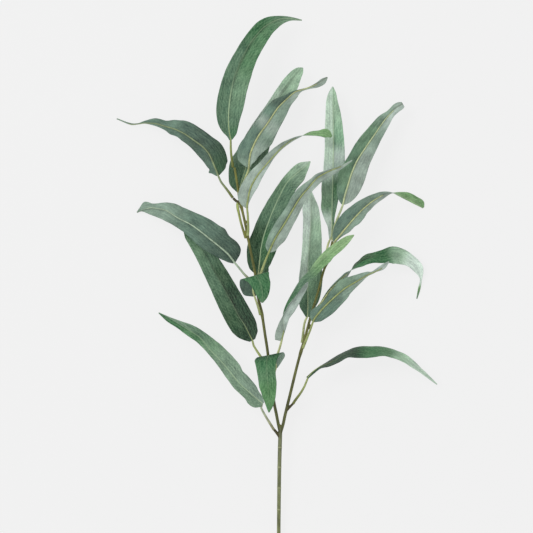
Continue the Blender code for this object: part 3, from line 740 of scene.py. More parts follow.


# Low and outer leaves of the left twig that show their green top sides. The lower edge of the
# third is paler than its upper half, partly in its print and partly as painted light and shade on
# the two tilted halves of its fold, and all end in a thin point.
leaf(
    "left_leaf_01",
    face=1,
    phase=0.0,
    petiole=(
        (-3.0, -148.4, 23.1), (-6.4, -142.9, 24.2), (-11.0, -135.4, 26.2), (-15.2, -128.2, 28.0),
        (-18.4, -122.0, 29.2),
    ),
    rows=(
        (-16.2, -116.8, 30, 5.0, 2.0), (-20.4, -113.4, 30, 10.1, 6.0),
        (-26.6, -108.1, 31.0, 11.3, 8.2), (-31.8, -103.6, 32, 9.2, 11.1),
        (-43.8, -92.8, 34, 8.8, 13.4), (-50.1, -85.5, 34.2, 8.2, 12.5),
        (-55.8, -78.4, 34, 7.7, 14.5), (-67.8, -64.0, 33, 6.2, 13.8), (-79.8, -52.0, 31, 4.9, 13.2),
        (-91.8, -37.6, 28, 6.5, 8.8), (-104.3, -28.9, 24.9, 6.6, 7.4),
        (-115.8, -22.0, 22, 5.2, 4.6), (-130.0, -13.6, 18, 4.7, 1.3), (-142.0, -7.6, 14, 0.6, 0.6),
    ),
    sleeve=("tan", "grey", "grey"),
    rib=(0.6, 0.35, 0.0),
    fold_shade=((0.15,), (0.1,)),
    top=(
        (0, "sage", "haze"), (0.42, "sage", "sage"), (0.54, "fern", "fern"),
        (0.66, "grass", "moss"), (0.9, "leaf", "sage"), (1, "leaf", "sage"),
    ),
)
leaf(
    "left_leaf_03",
    face=1,
    phase=2.0,
    petiole=(
        (-12.4, -67.8, 31.8), (-17.2, -62.4, 31.5), (-22.8, -54.4, 31.0), (-27.4, -47.0, 30.5),
    ),
    rows=(
        (-28.8, -40.6, 30, 3.5, 3.6), (-31.8, -35.2, 29, 9.7, 10.2),
        (-33.9, -31.0, 28.6, 13.7, 12.0), (-37.8, -23.2, 28, 16.9, 14.3),
        (-46.2, -10.0, 27, 16.8, 15.8), (-55.8, 8.0, 26, 16.1, 15.1), (-65.4, 26.0, 25, 14.8, 14.0),
        (-76.2, 44.0, 24, 12.3, 13.7), (-85.8, 62.0, 22, 11.3, 11.0), (-99.0, 81.6, 20, 9.2, 7.0),
        (-102.2, 85.4, 19.5, 8.5, 5.6), (-105.9, 89.4, 19.0, 6.6, 3.8),
        (-112.2, 96.0, 18, 0.6, 0.6),
    ),
    sleeve=("fresh", "fresh", "green"),
    rib=(0.25, 0.05, 0.0),
    fold_shade=((0.1,), (0.55, 0.6, 0.45, 0.2)),
    top=(
        (0, "deep", "deep"), (0.2, "forest", "deep"), (0.35, "bottle", "deep"),
        (0.55, "moss", "forest"), (0.75, "fern", "moss"), (0.9, "fern", "grass"),
        (1, "grass", "grass"),
    ),
)


# Two short leaves of the left twig that fold over forward: the grey underside shows as a lobe
# at the base, and the green top side hangs down in front of the twig.
leaf(
    "left_leaf_02",
    face=-1,
    phase=1.0,
    across=(-1.0, -0.2, 0.0),
    petiole=(
        (-5.0, -84.0, 32.9), (-2.4, -79.0, 37.5),
    ),
    rows=(
        (-0.6, -73.6, 41, 2.0, 2.0), (-1.2, -67.6, 43, 8.0, 7.3), (-3.0, -61.6, 47, 11.0, 13.3),
        (-9.0, -57.8, 53, 13.3, 17.1), (-10.9, -60.9, 56.6, 15.4, 14.3),
        (-12.0, -66.4, 60, 13.4, 12.4), (-11.6, -78.4, 62, 11.4, 10.7),
        (-10.2, -94.0, 61, 10.5, 10.3), (-9.0, -109.6, 58, 6.5, 7.9), (-8.6, -119.2, 55, 3.6, 4.6),
        (-9.0, -126.4, 52, 0.7, 0.7),
    ),
    rib=(0.15, 0.05),
    top=(
        (0, "deep", "deep"), (0.22, "deep", "deep"), (0.36, "leaf", "leaf"),
        (0.52, "grass", "grass"), (0.72, "clover", "clover"), (1, "clover", "clover"),
    ),
    back=((0, "haze", "haze"), (1, "slate", "slate")),
)
leaf(
    "left_leaf_05",
    face=-1,
    phase=2.5,
    across=(-1.0, -0.28, 0.0),
    petiole=(
        (-19.4, -9.6, 39.6), (-21.0, -3.6, 42.0), (-23.6, 4.6, 45.6),
    ),
    rows=(
        (-26.4, 12.8, 49, 2.0, 2.0), (-27.6, 16.4, 50, 10.5, 6.0), (-28.2, 22.4, 52, 14.0, 10.0),
        (-27.6, 31.2, 56, 17.2, 13.0), (-25.4, 37.6, 62, 17.8, 16.5), (-21.6, 32.8, 68, 13.0, 13.2),
        (-18.6, 25.4, 69, 10.8, 11.6), (-17.0, 16.4, 68, 7.5, 9.0), (-16.8, 9.8, 66, 4.2, 6.0),
        (-16.8, 5.0, 64, 1.0, 1.0),
    ),
    rib=(0.2, 0.1),
    top=(
        (0, "deep", "deep"), (0.3, "deep", "deep"), (0.5, "leaf", "leaf"), (0.8, "leaf", "leaf"),
        (1, "grass", "grass"),
    ),
    back=((0, "dusk", "dusk"), (1, "slate", "slate")),
)


# Outer leaves of the left twig that lie with the grey-green underside up and the stalk's midrib
# raised on them. The upper one ends in a thin curled tail.
leaf(
    "left_leaf_04",
    face=-1,
    phase=0.5,
    petiole=(
        (-26.2, 25.0, 40.8), (-31.0, 31.6, 41.0), (-37.8, 38.0, 40.5), (-44.0, 45.4, 39.5),
    ),
    rows=(
        (-50.4, 53.0, 38, 2.0, 2.0), (-53.4, 57.2, 39, 6.3, 12.6), (-58.2, 63.2, 40, 9.8, 17.4),
        (-67.8, 71.6, 41, 12.4, 17.4), (-74.4, 76.9, 41.7, 13.8, 20.5),
        (-79.8, 81.2, 42, 14.5, 19.7), (-91.8, 90.8, 41, 14.4, 18.2),
        (-103.8, 99.2, 39, 12.5, 15.2), (-118.2, 106.4, 35, 10.4, 14.3),
        (-128.7, 113.3, 30.6, 11.5, 12.4), (-133.8, 116.0, 28, 11.7, 9.8),
        (-149.4, 119.0, 18, 9.0, 5.1), (-153.8, 118.7, 14.4, 7.8, 7.5),
        (-157.8, 117.8, 11, 5.4, 8.5), (-163.1, 115.9, 7.5, 1.1, 4.3), (-168.6, 113.6, 4, 0.6, 0.6),
    ),
    sleeve=("tan", "frond", "frond"),
    fold_shade=((0.35,), (0.0,)),
    back=(
        (0, "dusk", "dusk"), (0.1, "dusk", "dusk"), (0.45, "slate", "slate"),
        (0.75, "haze", "haze"), (1, "haze", "haze"),
    ),
)
leaf(
    "left_leaf_09",
    face=-1,
    phase=0.8,
    petiole=(
        (-52.4, 130.6, 44.1), (-58.2, 138.8, 43.5), (-66.6, 149.6, 42.0),
    ),
    rows=(
        (-70.2, 157.4, 40, 2.0, 2.0), (-72.0, 162.8, 40, 7.4, 11.8), (-72.7, 164.4, 40, 9.6, 13.2),
        (-73.9, 167.2, 40, 7.2, 15.8), (-75.0, 170.0, 40, 8.1, 17.4),
        (-81.0, 183.2, 40, 11.2, 19.0), (-88.2, 191.6, 39, 11.3, 16.5),
        (-97.8, 198.8, 37, 9.3, 16.4), (-109.8, 207.2, 34, 8.5, 15.6),
        (-116.9, 211.0, 31.7, 7.2, 14.3), (-121.8, 213.2, 30, 7.5, 11.7),
        (-126.5, 214.8, 28.2, 7.4, 10.3), (-133.8, 216.8, 25, 4.1, 7.1),
        (-145.8, 220.4, 19, 2.8, 6.6), (-159.0, 221.2, 12, 0.4, 2.8),
        (-166.8, 220.3, 8.5, 0.2, 1.0), (-175.8, 220.0, 5, 0.4, 1.4),
        (-193.2, 227.0, 0.4, 0.6, 0.6),
    ),
    sleeve=("olive", "reed", "reed"),
    fold_shade=((0.2,), (0.1,)),
    # The dusk near the base is painted shade, where this underside faces away from the light.
    back=(
        (0, "slate", "forest"), (0.3, "dusk", "dusk"), (0.55, "slate", "slate"),
        (0.8, "haze", "slate"), (1, "haze", "haze"),
    ),
)


# Inner leaves of the left twig: a broad green one behind, a narrow pale one in front of it, and
# one that twists so that its green top shows at the tip.
leaf(
    "left_leaf_06",
    face=1,
    phase=1.5,
    petiole=(
        (-20.2, 15.0, 37.2), (-20.6, 22.0, 35.0), (-21.4, 30.0, 31.5),
    ),
    rows=(
        (-22.2, 38.0, 29, 2.0, 2.0), (-21.6, 43.4, 29, 10.0, 11.5), (-21.0, 48.6, 29.0, 13.0, 11.7),
        (-20.4, 53.6, 29, 14.9, 13.9), (-18.6, 70.4, 30, 16.6, 18.6), (-15.0, 86.0, 31, 14.2, 16.8),
        (-9.6, 101.6, 31, 13.2, 15.5), (-3.0, 118.4, 31, 11.2, 14.8), (4.2, 134.0, 30, 8.8, 14.2),
        (12.6, 149.0, 28, 7.3, 13.8), (25.8, 161.6, 25, 8.7, 11.6), (34.2, 168.2, 22, 7.4, 5.5),
        (40.8, 174.8, 20, 0.6, 0.6),
    ),
    rib=(0.75, 0.6, 0.3),
    fold_shade=((0.15,), (0.0,)),
    top=(
        (0, "forest", "forest"), (0.3, "forest", "leaf"), (0.45, "moss", "moss"),
        (0.72, "fern", "moss"), (0.86, "mint", "sage"), (1, "pale", "mint"),
    ),
)
leaf(
    "left_leaf_07",
    face=-1,
    phase=0.2,
    petiole=(
        (-22.2, 29.6, 41.6), (-20.4, 36.0, 42.6), (-16.2, 47.6, 43.6), (-12.6, 57.2, 44.4),
    ),
    rows=(
        (-9.0, 65.6, 45, 2.0, 2.0), (-7.2, 69.8, 46, 6.5, 6.6), (-4.8, 75.2, 48, 8.0, 7.8),
        (0.6, 85.4, 51, 9.2, 11.3), (10.2, 100.4, 54, 9.8, 9.8), (18.6, 114.8, 56, 8.4, 9.1),
        (28.2, 130.4, 57, 9.2, 7.0), (37.8, 141.8, 57, 7.6, 6.2), (45.0, 150.4, 56.5, 4.7, 6.7),
        (49.8, 155.0, 56, 4.6, 7.0), (64.2, 162.8, 54, 2.0, 6.0), (77.4, 168.2, 52, 1.0, 3.0),
        (90.6, 175.4, 50, 0.6, 0.6),
    ),
    sleeve=("straw", "fresh", "fresh"),
    fold_shade=((0.4, 0.8, 0.7, 0.2), (0.0,)),
    back=((0, "haze", "mist"), (0.5, "haze", "mist"), (0.8, "mist", "mist"), (1, "ash", "mist")),
)
leaf(
    "left_leaf_08",
    face=-1,
    phase=1.2,
    reach=0.66,
    petiole=(
        (-34.6, 85.0, 47.4), (-34.0, 93.0, 48.6), (-34.1, 101.0, 50.6), (-34.4, 110.0, 52.6),
    ),
    rows=(
        (-35.4, 118.4, 54, 2.0, 1.6), (-35.2, 122.4, 54, 8.0, 1.6), (-34.2, 128.0, 55, 12.2, 2.8),
        (-32.4, 137.6, 56, 12.4, 5.7), (-29.4, 146.0, 57, 11.0, 7.5), (-22.2, 158.0, 58, 9.4, 6.3),
        (-13.8, 168.2, 58, 7.8, 4.1), (-4.2, 179.6, 58, 7.2, 2.0, 2.0, -3.0),
        (6.6, 191.0, 57, 4.8, 1.7, 4.0, -4.5), (18.6, 200.0, 56, 1.5, 1.9, 5.0, -5.0),
        (28.2, 203.8, 55, 0.5, 0.5, 5.0, -5.0), (40.2, 207.8, 54, -3.0, -1.7, 4.5, -4.5),
        (51.0, 208.0, 52, -3.8, -3.2, 3.5, -3.5), (59.4, 207.6, 50, -5.2, -5.4, 2.0, -2.0),
        (66.0, 203.6, 47, -1.0, -1.5, 0.5, -0.5),
    ),
    sleeve=("fresh", "fresh", "fresh"),
    fold_shade=((0.15,), (0.0,)),
    top=((0, "leaf", "leaf"), (0.6, "spring", "spring"), (1, "spring", "spring")),
    back=((0, "mist", "ash"), (0.4, "mist", "ash"), (1, "mist", "ash")),
)


# Top leaves of the left twig: the long one at its end, which droops to the right, and two that
# cross beside it, one with its underside up.
leaf(
    "left_leaf_10",
    face=1,
    phase=2.2,
    petiole=(
        (-52.3, 166.9, 46.7), (-53.0, 172.4, 46.8), (-54.2, 182.0, 47.0), (-54.8, 190.0, 47.0),
    ),
    rows=(
        (-54.6, 200.0, 47, 2.0, 2.0), (-55.8, 204.8, 47, 3.5, 7.6), (-56.8, 210.8, 48, 8.2, 10.3),
        (-57.6, 221.6, 50, 12.9, 13.2), (-57.0, 238.4, 53, 15.0, 17.3),
        (-54.0, 260.0, 55, 13.8, 18.7), (-48.6, 280.4, 55, 12.4, 19.0),
        (-39.0, 302.0, 52, 10.6, 16.9), (-29.4, 318.8, 48, 9.5, 16.2),
        (-17.4, 333.2, 43, 9.6, 13.8), (-7.8, 340.4, 39, 8.1, 11.2), (3.0, 345.2, 35, 4.3, 7.9),
        (16.2, 346.2, 31, 2.2, 2.7), (30.6, 344.6, 27, 0.6, 0.6),
    ),
    sleeve=("olive", "green", "green"),
    rib=(0.9, 0.7, 0.1, 0.15, 0.25, 0.3),
    fold_shade=((0.0, 0.1, 0.2, 0.1), (0.05, 0.5, 0.75, 0.45, 0.1)),
    top=(
        (0, "moss", "leaf"), (0.12, "moss", "moss"), (0.3, "moss", "fern"), (0.5, "moss", "grass"),
        (0.72, "leaf", "grass"), (1, "sage", "sage"),
    ),
)
leaf(
    "left_leaf_11",
    face=1,
    phase=0.4,
    petiole=(
        (-42.8, 119.0, 42.9), (-44.4, 128.0, 38.5),
    ),
    rows=(
        (-45.6, 137.0, 33, 2.0, 2.0), (-44.4, 141.2, 32, 10.1, 6.0), (-42.6, 148.4, 31, 15.3, 9.6),
        (-36.6, 168.8, 30, 19.8, 18.0), (-30.6, 188.0, 29, 14.4, 20.8),
        (-23.4, 204.8, 29, 12.4, 18.0), (-15.0, 221.6, 29, 10.2, 14.0),
        (-5.4, 238.4, 29, 8.1, 13.0), (4.2, 254.0, 28, 7.6, 12.0), (9.3, 261.2, 27.1, 7.6, 12.8),
        (13.8, 267.2, 26, 8.1, 12.8), (23.4, 279.2, 23, 6.8, 7.8), (28.8, 284.6, 21.5, 4.5, 4.5),
        (31.8, 287.6, 21, 0.6, 0.6),
    ),
    rib=(0.3, 0.1, 0.0),
    fold_shade=((0.1, 0.1, 0.1, 0.1, 0.45, 0.1), (0.1, 0.1, 0.1, 0.1, 0.45, 0.1)),
    top=(
        (0, "bottle", "moss"), (0.15, "bottle", "fern"), (0.27, "sage", "sage"),
        (0.5, "mist", "fern"), (0.7, "pale", "sage"), (0.85, "mint", "mint"), (1, "mint", "mint"),
    ),
)
leaf(
    "left_leaf_12",
    face=-1,
    phase=1.7,
    petiole=(
        (-42.4, 132.0, 46.0), (-42.0, 141.0, 45.5), (-37.8, 153.2, 44.4), (-34.4, 161.6, 43.6),
    ),
    rows=(
        (-33.0, 167.0, 43, 2.0, 2.0), (-33.0, 170.6, 43.5, 8.0, 3.0), (-32.6, 175.4, 44, 14.0, 7.0),
        (-30.6, 185.6, 46, 16.3, 11.5), (-22.2, 203.6, 48, 12.4, 18.4),
        (-10.2, 220.4, 49, 11.9, 15.2), (1.8, 238.4, 48, 11.1, 13.1), (12.6, 249.2, 46, 5.4, 8.5),
        (22.2, 257.4, 44, 2.0, 6.3), (30.0, 260.0, 42, 1.1, 1.9), (39.0, 263.2, 40, 0.6, 2.1),
        (48.6, 267.2, 38, 1.9, 4.1), (55.8, 271.4, 36, 2.9, 4.2), (61.2, 275.6, 35, 0.6, 0.6),
    ),
    sleeve=("green", "straw", "straw"),
    fold_shade=((0.45,), (0.0,)),
    # The pale and dark bands of this underside are painted highlights and shade across its ripples.
    back=(
        (0, "haze", "ash"), (0.15, "slate", "mist"), (0.28, "slate", "haze"),
        (0.38, "mist", "mist"), (0.46, "slate", "haze"), (0.58, "dusk", "haze"),
        (0.68, "slate", "mist"), (0.85, "mist", "mist"), (1, "mist", "mist"),
    ),
)


# The twisted leaf between the twigs. It starts with its grey underside in view and turns over
# to a bright green top side.
leaf(
    "left_leaf_13",
    face=-1,
    phase=0.0,
    reach=0.13,
    petiole=(
        (-5.6, -70.4, 33.0), (-3.6, -66.4, 35.4), (-0.4, -60.6, 38.4), (3.0, -52.0, 41.0),
        (5.4, -43.6, 42.6),
    ),
    rows=(
        (6.1, -41.3, 42.8, 8.0, 0.9, 1.0, 0.0), (7.2, -35.8, 43.5, 9.2, 1.0, 1.2, -0.4),
        (8.8, -26.8, 45, 8.6, 2.2, 1.8, -1.0), (8.3, -19.0, 46.5, 5.4, 5.4, 1.8, -2.0),
        (7.6, -12.4, 47.6, 0.8, 8.8, 2.4, -2.6), (8.8, -4.6, 49, -1.6, 11.6, 3.4, -3.0),
        (12.2, 4.4, 50.4, -3.0, 13.4, 4.2, -2.5), (19.6, 18.0, 52, -5.8, 13.2, 4.6, -3.0),
        (28.8, 32.6, 52, -7.6, 11.2, 4.0, -5.0), (38.4, 42.2, 51, -9.8, 1.0, 3.0, -8.0),
        (51.0, 53.6, 50, -8.6, -4.0, 2.0, -6.0), (59.3, 60.9, 49.5, -8.4, -5.2, 2.0, -3.5),
        (64.2, 65.0, 49, -7.0, -5.7, 2.0, -2.0), (76.2, 74.0, 47, -6.2, -5.4, 1.0, 1.0),
        (85.8, 81.2, 45, -3.8, -4.0, 1.0, 1.0), (93.0, 86.0, 43, -0.6, -0.6, 0.0, 0.0),
    ),
    sleeve=("straw", "straw", "fresh"),
    rib=(0.1, 0.1),
    top=(
        (0, "leaf", "leaf"), (0.25, "leaf", "leaf"), (0.5, "moss", "grass"),
        (0.7, "spring", "lime"), (0.9, "lime", "lime"), (1, "lime", "lime"),
    ),
    back=((0, "mist", "ash"), (1, "mist", "ash")),
)


# Two long sweeping leaves of the right twig, dark green and then very pale toward the tip; on the
# upper one that paleness is partly a painted glare on its pale print. The upper one hangs down at
# its end and touches the floor.
leaf(
    "right_leaf_01",
    face=1,
    phase=0.9,
    petiole=(
        (19.9, -117.0, 26.3), (22.4, -113.0, 27.2), (25.7, -108.5, 28.6), (29.9, -102.5, 30.4),
        (33.8, -95.6, 31.9),
    ),
    rows=(
        (37.0, -85.6, 33, 1.4, 1.4, -1.0, 1.0), (43.8, -77.8, 33, 0.1, 2.7, -4.0, 3.0),
        (52.2, -72.2, 33, 0.3, 2.1, -6.0, 5.0), (61.8, -68.6, 33, 2.1, 3.4, -9.0, 8.0),
        (72.6, -63.2, 33.5, 3.4, 4.2, -10.0, 9.0), (84.6, -56.8, 34, 3.3, 4.2, -11.0, 10.0),
        (97.8, -54.6, 34, 6.1, 6.8, -11.0, 10.0), (112.2, -54.4, 33, 6.5, 6.6, -10.0, 10.0),
        (127.8, -54.0, 32, 5.5, 5.0, -9.0, 9.0), (142.2, -57.2, 30, 4.8, 4.9, -7.0, 7.0),
        (154.2, -63.0, 28, 5.2, 4.0, -5.0, 5.0), (165.0, -70.6, 25, 4.2, 3.4, -4.0, 4.0),
        (172.5, -76.8, 22.6, 3.0, 1.9, -2.7, 2.7), (177.0, -80.6, 21, 2.9, 1.4, -2.0, 2.0),
        (193.8, -94.0, 14, 0.6, 0.6, 0.0, 0.0),
    ),
    sleeve=("olive", "fresh", "green"),
    rib=(0.1, 0.0),
    top=(
        (0, "forest", "forest"), (0.15, "deep", "deep"), (0.34, "deep", "deep"),
        (0.48, "leaf", "leaf"), (0.58, "grass", "grass"), (0.68, "mint", "mint"),
        (0.82, "pale", "pale"), (1, "pale", "pale"),
    ),
)
leaf(
    "right_leaf_03",
    face=-1,
    phase=1.1,
    reach=0.3,
    petiole=(
        (43.4, -8.6, 35.2), (47.6, -2.6, 37.0),
    ),
    rows=(
        (54.6, 5.6, 38, 1.6, 1.6, 0.0, 0.0), (63.0, 18.8, 38, 1.6, 6.0, 3.0, -1.0),
        (71.4, 27.8, 38, 2.0, 6.0, 4.5, -2.0), (79.8, 35.6, 37, 2.0, 4.5, 5.0, -4.0),
        (83.4, 38.7, 36.6, 2.2, 3.3, 5.3, -4.8), (87.6, 42.4, 36, 0.5, 1.5, 5.5, -5.5),
        (95.4, 49.2, 34, -3.0, -2.4, 5.0, -5.0), (101.0, 53.2, 32.8, -5.5, -3.0, 4.4, -3.9),
        (105.0, 55.4, 32, -5.7, -4.8, 4.0, -3.0), (110.5, 57.4, 31.1, -5.9, -6.1, 3.5, -2.1),
        (117.0, 59.2, 30, -6.8, -6.0, 3.0, -1.0), (129.0, 60.3, 27, -8.1, -8.4, 2.5, 1.0),
        (139.8, 62.6, 24, -10.9, -9.8, 2.0, 2.0), (150.6, 60.0, 20, -9.5, -9.4, 2.0, 2.0),
        (161.4, 53.6, 15, -5.9, -8.4, 2.0, 2.0), (170.4, 44.2, 9, -4.5, -7.4, 1.0, 1.0),
        (173.8, 33.2, 5, -0.3, -2.2, 0.0, 0.0), (172.2, 21.2, 2.3, -1.1, -1.9, 0.0, 0.0),
        (169.8, 9.2, 0.3, -0.6, -0.6, 0.0, 0.0),
    ),
    rib=(0.0, 0.0),
    # The mist at the base is painted light on a steep strip that lies in shade; the frost toward
    # the tip is pale print with a painted glare on it.
    top=(
        (0, "mist", "mist"), (0.17, "mist", "mist"), (0.22, "leaf", "forest"),
        (0.4, "leaf", "forest"), (0.53, "leaf", "leaf"), (0.63, "mint", "mint"),
        (0.74, "frost", "frost"), (0.88, "frost", "frost"), (0.93, "spring", "spring"),
        (1, "sage", "sage"),
    ),
    back=((0, "haze", "mist"), (1, "haze", "mist")),
)


# Lower leaves of the right twig: an underside in front, and a long pale green one that stands
# between the twigs.
leaf(
    "right_leaf_02",
    face=-1,
    phase=2.8,
    petiole=(
        (31.6, -50.0, 34.4), (33.2, -46.0, 35.8), (35.6, -40.0, 37.6), (38.0, -34.0, 39.6),
        (40.4, -28.0, 42.0),
    ),
    rows=(
        (43.8, -17.8, 45, 2.0, 2.0), (45.6, -14.2, 46, 6.5, 7.1), (48.6, -10.0, 47, 9.0, 9.4),
        (58.2, 0.8, 49, 5.2, 12.8), (70.2, 12.2, 51, 7.9, 12.1), (78.5, 19.3, 51.2, 10.6, 10.9),
        (83.4, 23.0, 51, 11.5, 8.9), (97.8, 31.4, 49, 7.7, 4.3), (109.8, 38.4, 46, 3.9, 1.4),
        (114.2, 40.3, 45.1, 1.7, 1.3), (119.4, 42.4, 44, 2.6, 0.8), (127.8, 47.2, 42, 3.8, 2.4),
        (135.0, 54.2, 40, 0.6, 0.6),
    ),
    sleeve=("fresh", "fresh", "fresh"),
    fold_shade=((0.3,), (0.0,)),
    back=(
        (0, "slate", "slate"), (0.25, "slate", "slate"), (0.5, "sage", "haze"),
        (0.7, "haze", "mist"), (0.9, "ash", "ash"), (1, "ash", "ash"),
    ),
)
leaf(
    "right_leaf_04",
    face=1,
    phase=0.6,
    petiole=(
        (30.6, -43.4, 31.2), (31.4, -39.0, 30.6), (32.2, -31.0, 30.4), (33.3, -22.0, 30.4),
        (34.8, -16.4, 30.4),
    ),
    rows=(
        (37.2, -12.4, 30, 2.0, 2.0), (37.4, -7.6, 29, 5.4, 5.0), (37.8, -1.6, 28, 9.4, 8.5),
        (37.8, 9.2, 26, 10.8, 14.0), (37.8, 26.0, 25, 11.2, 17.0), (37.7, 34.5, 24.5, 10.6, 17.9),
        (37.8, 46.4, 24, 9.3, 16.9), (39.0, 68.0, 24, 8.3, 15.4), (40.6, 88.4, 24, 8.9, 13.6),
        (41.4, 106.4, 24, 9.3, 11.2), (41.4, 120.8, 23, 10.0, 8.8), (41.4, 131.6, 22, 6.0, 4.1),
        (40.8, 141.2, 21, 0.6, 0.6),
    ),
    sleeve=("fresh", "straw", "straw"),
    rib=(0.7, 0.5, 0.1, 0.3, 0.2),
    fold_shade=((0.5, 0.3, 0.0), (0.2, 0.45, 0.1)),
    # The frost and pale toward the tip are inked paler than the cloth, painted light that makes up
    # for the shade of the leaves above it.
    top=(
        (0, "moss", "moss"), (0.18, "moss", "fern"), (0.32, "mist", "fern"), (0.55, "pale", "sage"),
        (0.7, "frost", "mint"), (0.85, "frost", "pale"), (1, "pale", "pale"),
    ),
)


# Upper leaves of the right twig: one straight up with its top side in view, and two with the
# underside up, the outer of which twists over at its tip.
leaf(
    "right_leaf_05",
    face=1,
    phase=1.4,
    petiole=(
        (59.2, 56.6, 35.2), (60.4, 63.0, 34.0), (61.0, 70.4, 33.0), (62.4, 76.0, 32.0),
    ),
    rows=(
        (64.8, 81.2, 31, 1.6, 1.6), (66.0, 86.0, 30, 3.3, 2.5), (66.6, 95.6, 29, 5.0, 3.0),
        (66.6, 106.4, 28, 9.5, 3.2), (66.8, 117.2, 27, 13.0, 5.2), (67.0, 129.2, 26, 12.8, 7.5),
        (67.6, 146.0, 25, 13.3, 11.0), (68.0, 166.4, 25, 11.5, 14.0), (68.4, 188.0, 25, 10.4, 13.6),
        (68.4, 212.0, 25, 10.1, 11.8), (68.0, 233.6, 24, 8.8, 9.0), (67.6, 248.0, 23, 7.6, 5.9),
        (67.6, 257.6, 22, 4.7, 4.0), (67.8, 264.8, 21, 0.6, 0.6),
    ),
    sleeve=("straw", "straw", "straw"),
    rib=(0.4, 0.6, 0.7, 0.4, 0.0),
    fold_shade=((0.0,), (0.3, 0.4, 0.3, 0.45, 0.4, 0.0)),
    top=(
        (0, "ash", "moss"), (0.12, "ash", "moss"), (0.22, "fern", "moss"), (0.34, "sage", "grass"),
        (0.44, "ash", "haze"), (0.54, "pale", "ash"), (0.66, "pale", "jade"),
        (0.85, "pale", "mint"), (1, "pale", "mint"),
    ),
)
leaf(
    "right_leaf_06",
    face=-1,
    phase=2.1,
    petiole=(
        (67.4, 79.3, 37.0), (68.2, 86.0, 37.8), (69.6, 95.0, 38.8), (72.6, 104.4, 40.0),
        (77.4, 116.0, 41.5),
    ),
    rows=(
        (79.8, 122.6, 42, 2.0, 2.0), (80.6, 126.8, 42, 6.0, 7.9), (82.2, 134.0, 42, 10.2, 12.7),
        (85.8, 146.0, 42, 13.5, 16.4), (89.4, 158.0, 41.5, 14.8, 17.7),
        (96.6, 174.8, 41, 12.0, 15.9), (107.4, 191.6, 39, 12.8, 12.9),
        (118.2, 207.2, 36, 11.1, 9.9), (129.0, 222.8, 32, 8.6, 7.9), (137.4, 232.4, 29, 5.0, 5.4),
        (144.6, 239.0, 26, 5.6, 5.2), (149.2, 241.6, 24.6, 5.0, 4.8),
        (152.4, 243.5, 23.6, 3.3, 3.5),
    ),
    sleeve=("straw", "celery", "celery"),
    fold_shade=((0.35,), (0.0,)),
    back=(
        (0, "slate", "mist"), (0.2, "fern", "mist"), (0.4, "moss", "mist"), (0.65, "fern", "haze"),
        (0.85, "haze", "ash"), (1, "mist", "ash"),
    ),
)
leaf(
    "right_leaf_07",
    face=-1,
    phase=0.3,
    reach=0.55,
    petiole=(
        (66.0, 68.0, 39.0), (67.6, 73.0, 40.6),
    ),
    rows=(
        (69.6, 77.6, 42, 2.0, 1.6), (72.6, 81.8, 43.5, 7.0, 2.0), (76.8, 86.6, 45, 11.0, 3.0),
        (82.2, 93.2, 46, 13.4, 6.1), (88.7, 101.0, 46.8, 14.2, 7.2), (91.8, 104.6, 47, 14.0, 8.7),
        (99.0, 112.4, 46.7, 12.4, 8.6), (103.8, 117.2, 46, 11.2, 6.8),
        (108.8, 121.6, 44.8, 9.9, 6.6, -1.1, -2.0), (114.6, 126.2, 43, 8.0, 5.3, 1.0, -2.5),
        (126.6, 133.4, 38, 4.7, 4.2, 4.0, -4.5), (137.4, 136.4, 33, 1.0, 0.6, 5.5, -5.5),
        (148.2, 134.8, 27, -2.3, -3.2, 4.5, -4.5), (158.0, 131.6, 20.5, -3.7, -5.9, 2.0, -2.0),
        (167.4, 127.2, 11, -3.8, -5.7, 1.0, -1.0), (174.0, 122.8, 3.6, -2.6, -5.9, 0.5, -0.5),
        (177.6, 119.2, 0.1, -0.9, -1.6, 0.0, 0.0),
    ),
    sleeve=("straw", "straw", "straw"),
    rib=(0.0, 0.0),
    fold_shade=((0.3,), (0.0,)),
    top=((0, "lime", "spring"), (1, "lime", "spring")),
    back=(
        (0, "slate", "haze"), (0.3, "slate", "haze"), (0.5, "haze", "mist"), (0.7, "mist", "mist"),
        (1, "haze", "haze"),
    ),
)


# Floor, light and camera. The floor is a plain matt acrylic sheet that glows a little, as a
# light table does, under an even pale sky and one large soft lamp. The camera looks straight
# down through a long lens. Lengths here are metres, apart from the grain's.
FLOOR_SIZE = 6.0
FLOOR_INK = "#4c4c4c"
FLOOR_GLOW = 0.803
FLOOR_GRAIN_MM = 100 / 3
SKY_STRENGTH = 0.7
LAMP_PLACE = (-2.4, 1.8, 4.6)
LAMP_AIM = (0, 0.05, 0)
LAMP_SIZE = 2.6
LAMP_POWER = 125.0
CAMERA_HEIGHT = 5.0
CAMERA_X = -0.012
CAMERA_Y = 0.04824
FRAME_WIDTH = 0.6396
FRAME_HEIGHT = 0.040

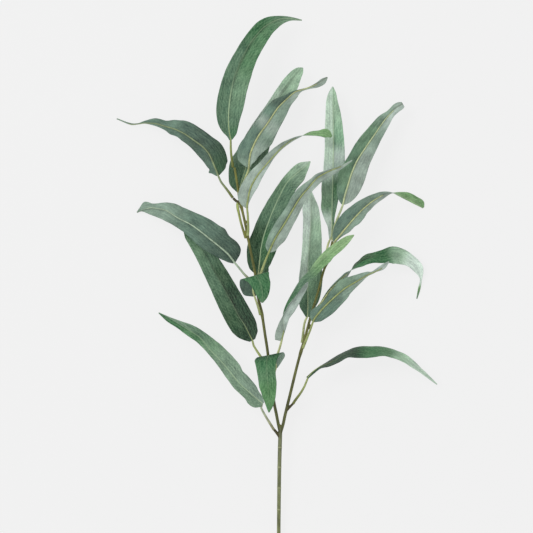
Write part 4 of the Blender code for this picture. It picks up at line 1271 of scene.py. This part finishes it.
acrylic, tree, shader = new_material("matt_acrylic")
place = add(tree, "ShaderNodeTexCoord", out="Object")
grain = noise(tree, place, FLOOR_GRAIN_MM, 4.0)
shade = remap(tree, grain, 0.3, 0.7, 0.99, 1.01)
tone = add(
    tree,
    "ShaderNodeVectorMath",
    operation="SCALE",
    values={0: linear(FLOOR_INK)[:3]},
    links={"Scale": shade},
)
tree.links.new(tone, shader.inputs["Base Color"])
shader.inputs["Emission Color"].default_value = (1.0, 1.0, 1.0, 1.0)
shader.inputs["Emission Strength"].default_value = FLOOR_GLOW
shader.inputs["Roughness"].default_value = 0.9
shader.inputs["Specular IOR Level"].default_value = 0.1
sheet = bmesh.new()
bmesh.ops.create_grid(sheet, x_segments=1, y_segments=1, size=FLOOR_SIZE / 2)
floor_mesh = bpy.data.meshes.new("floor")
sheet.to_mesh(floor_mesh)
sheet.free()
floor_mesh.materials.append(acrylic)
floor = bpy.data.objects.new("floor", floor_mesh)
bpy.context.scene.collection.objects.link(floor)

sky = bpy.data.worlds.new("even_sky")
sky.use_nodes = True
sky.node_tree.nodes["Background"].inputs["Color"].default_value = (1.0, 1.0, 1.0, 1.0)
sky.node_tree.nodes["Background"].inputs["Strength"].default_value = SKY_STRENGTH
bpy.context.scene.world = sky

light = bpy.data.lights.new("main_lamp", "AREA")
light.size = LAMP_SIZE
light.energy = LAMP_POWER
lamp = bpy.data.objects.new("main_lamp", light)
lamp.location = LAMP_PLACE
beam = Vector(LAMP_AIM) - Vector(LAMP_PLACE)
lamp.rotation_euler = beam.to_track_quat("-Z", "Y").to_euler()
bpy.context.scene.collection.objects.link(lamp)

lens = bpy.data.cameras.new("camera")
lens.sensor_width = 36.0
lens.lens = lens.sensor_width * (CAMERA_HEIGHT - FRAME_HEIGHT) / FRAME_WIDTH
lens.clip_end = 50.0
camera = bpy.data.objects.new("camera", lens)
camera.location = (CAMERA_X, CAMERA_Y, CAMERA_HEIGHT)
bpy.context.scene.collection.objects.link(camera)
bpy.context.scene.camera = camera
bpy.context.scene.view_settings.view_transform = "Standard"
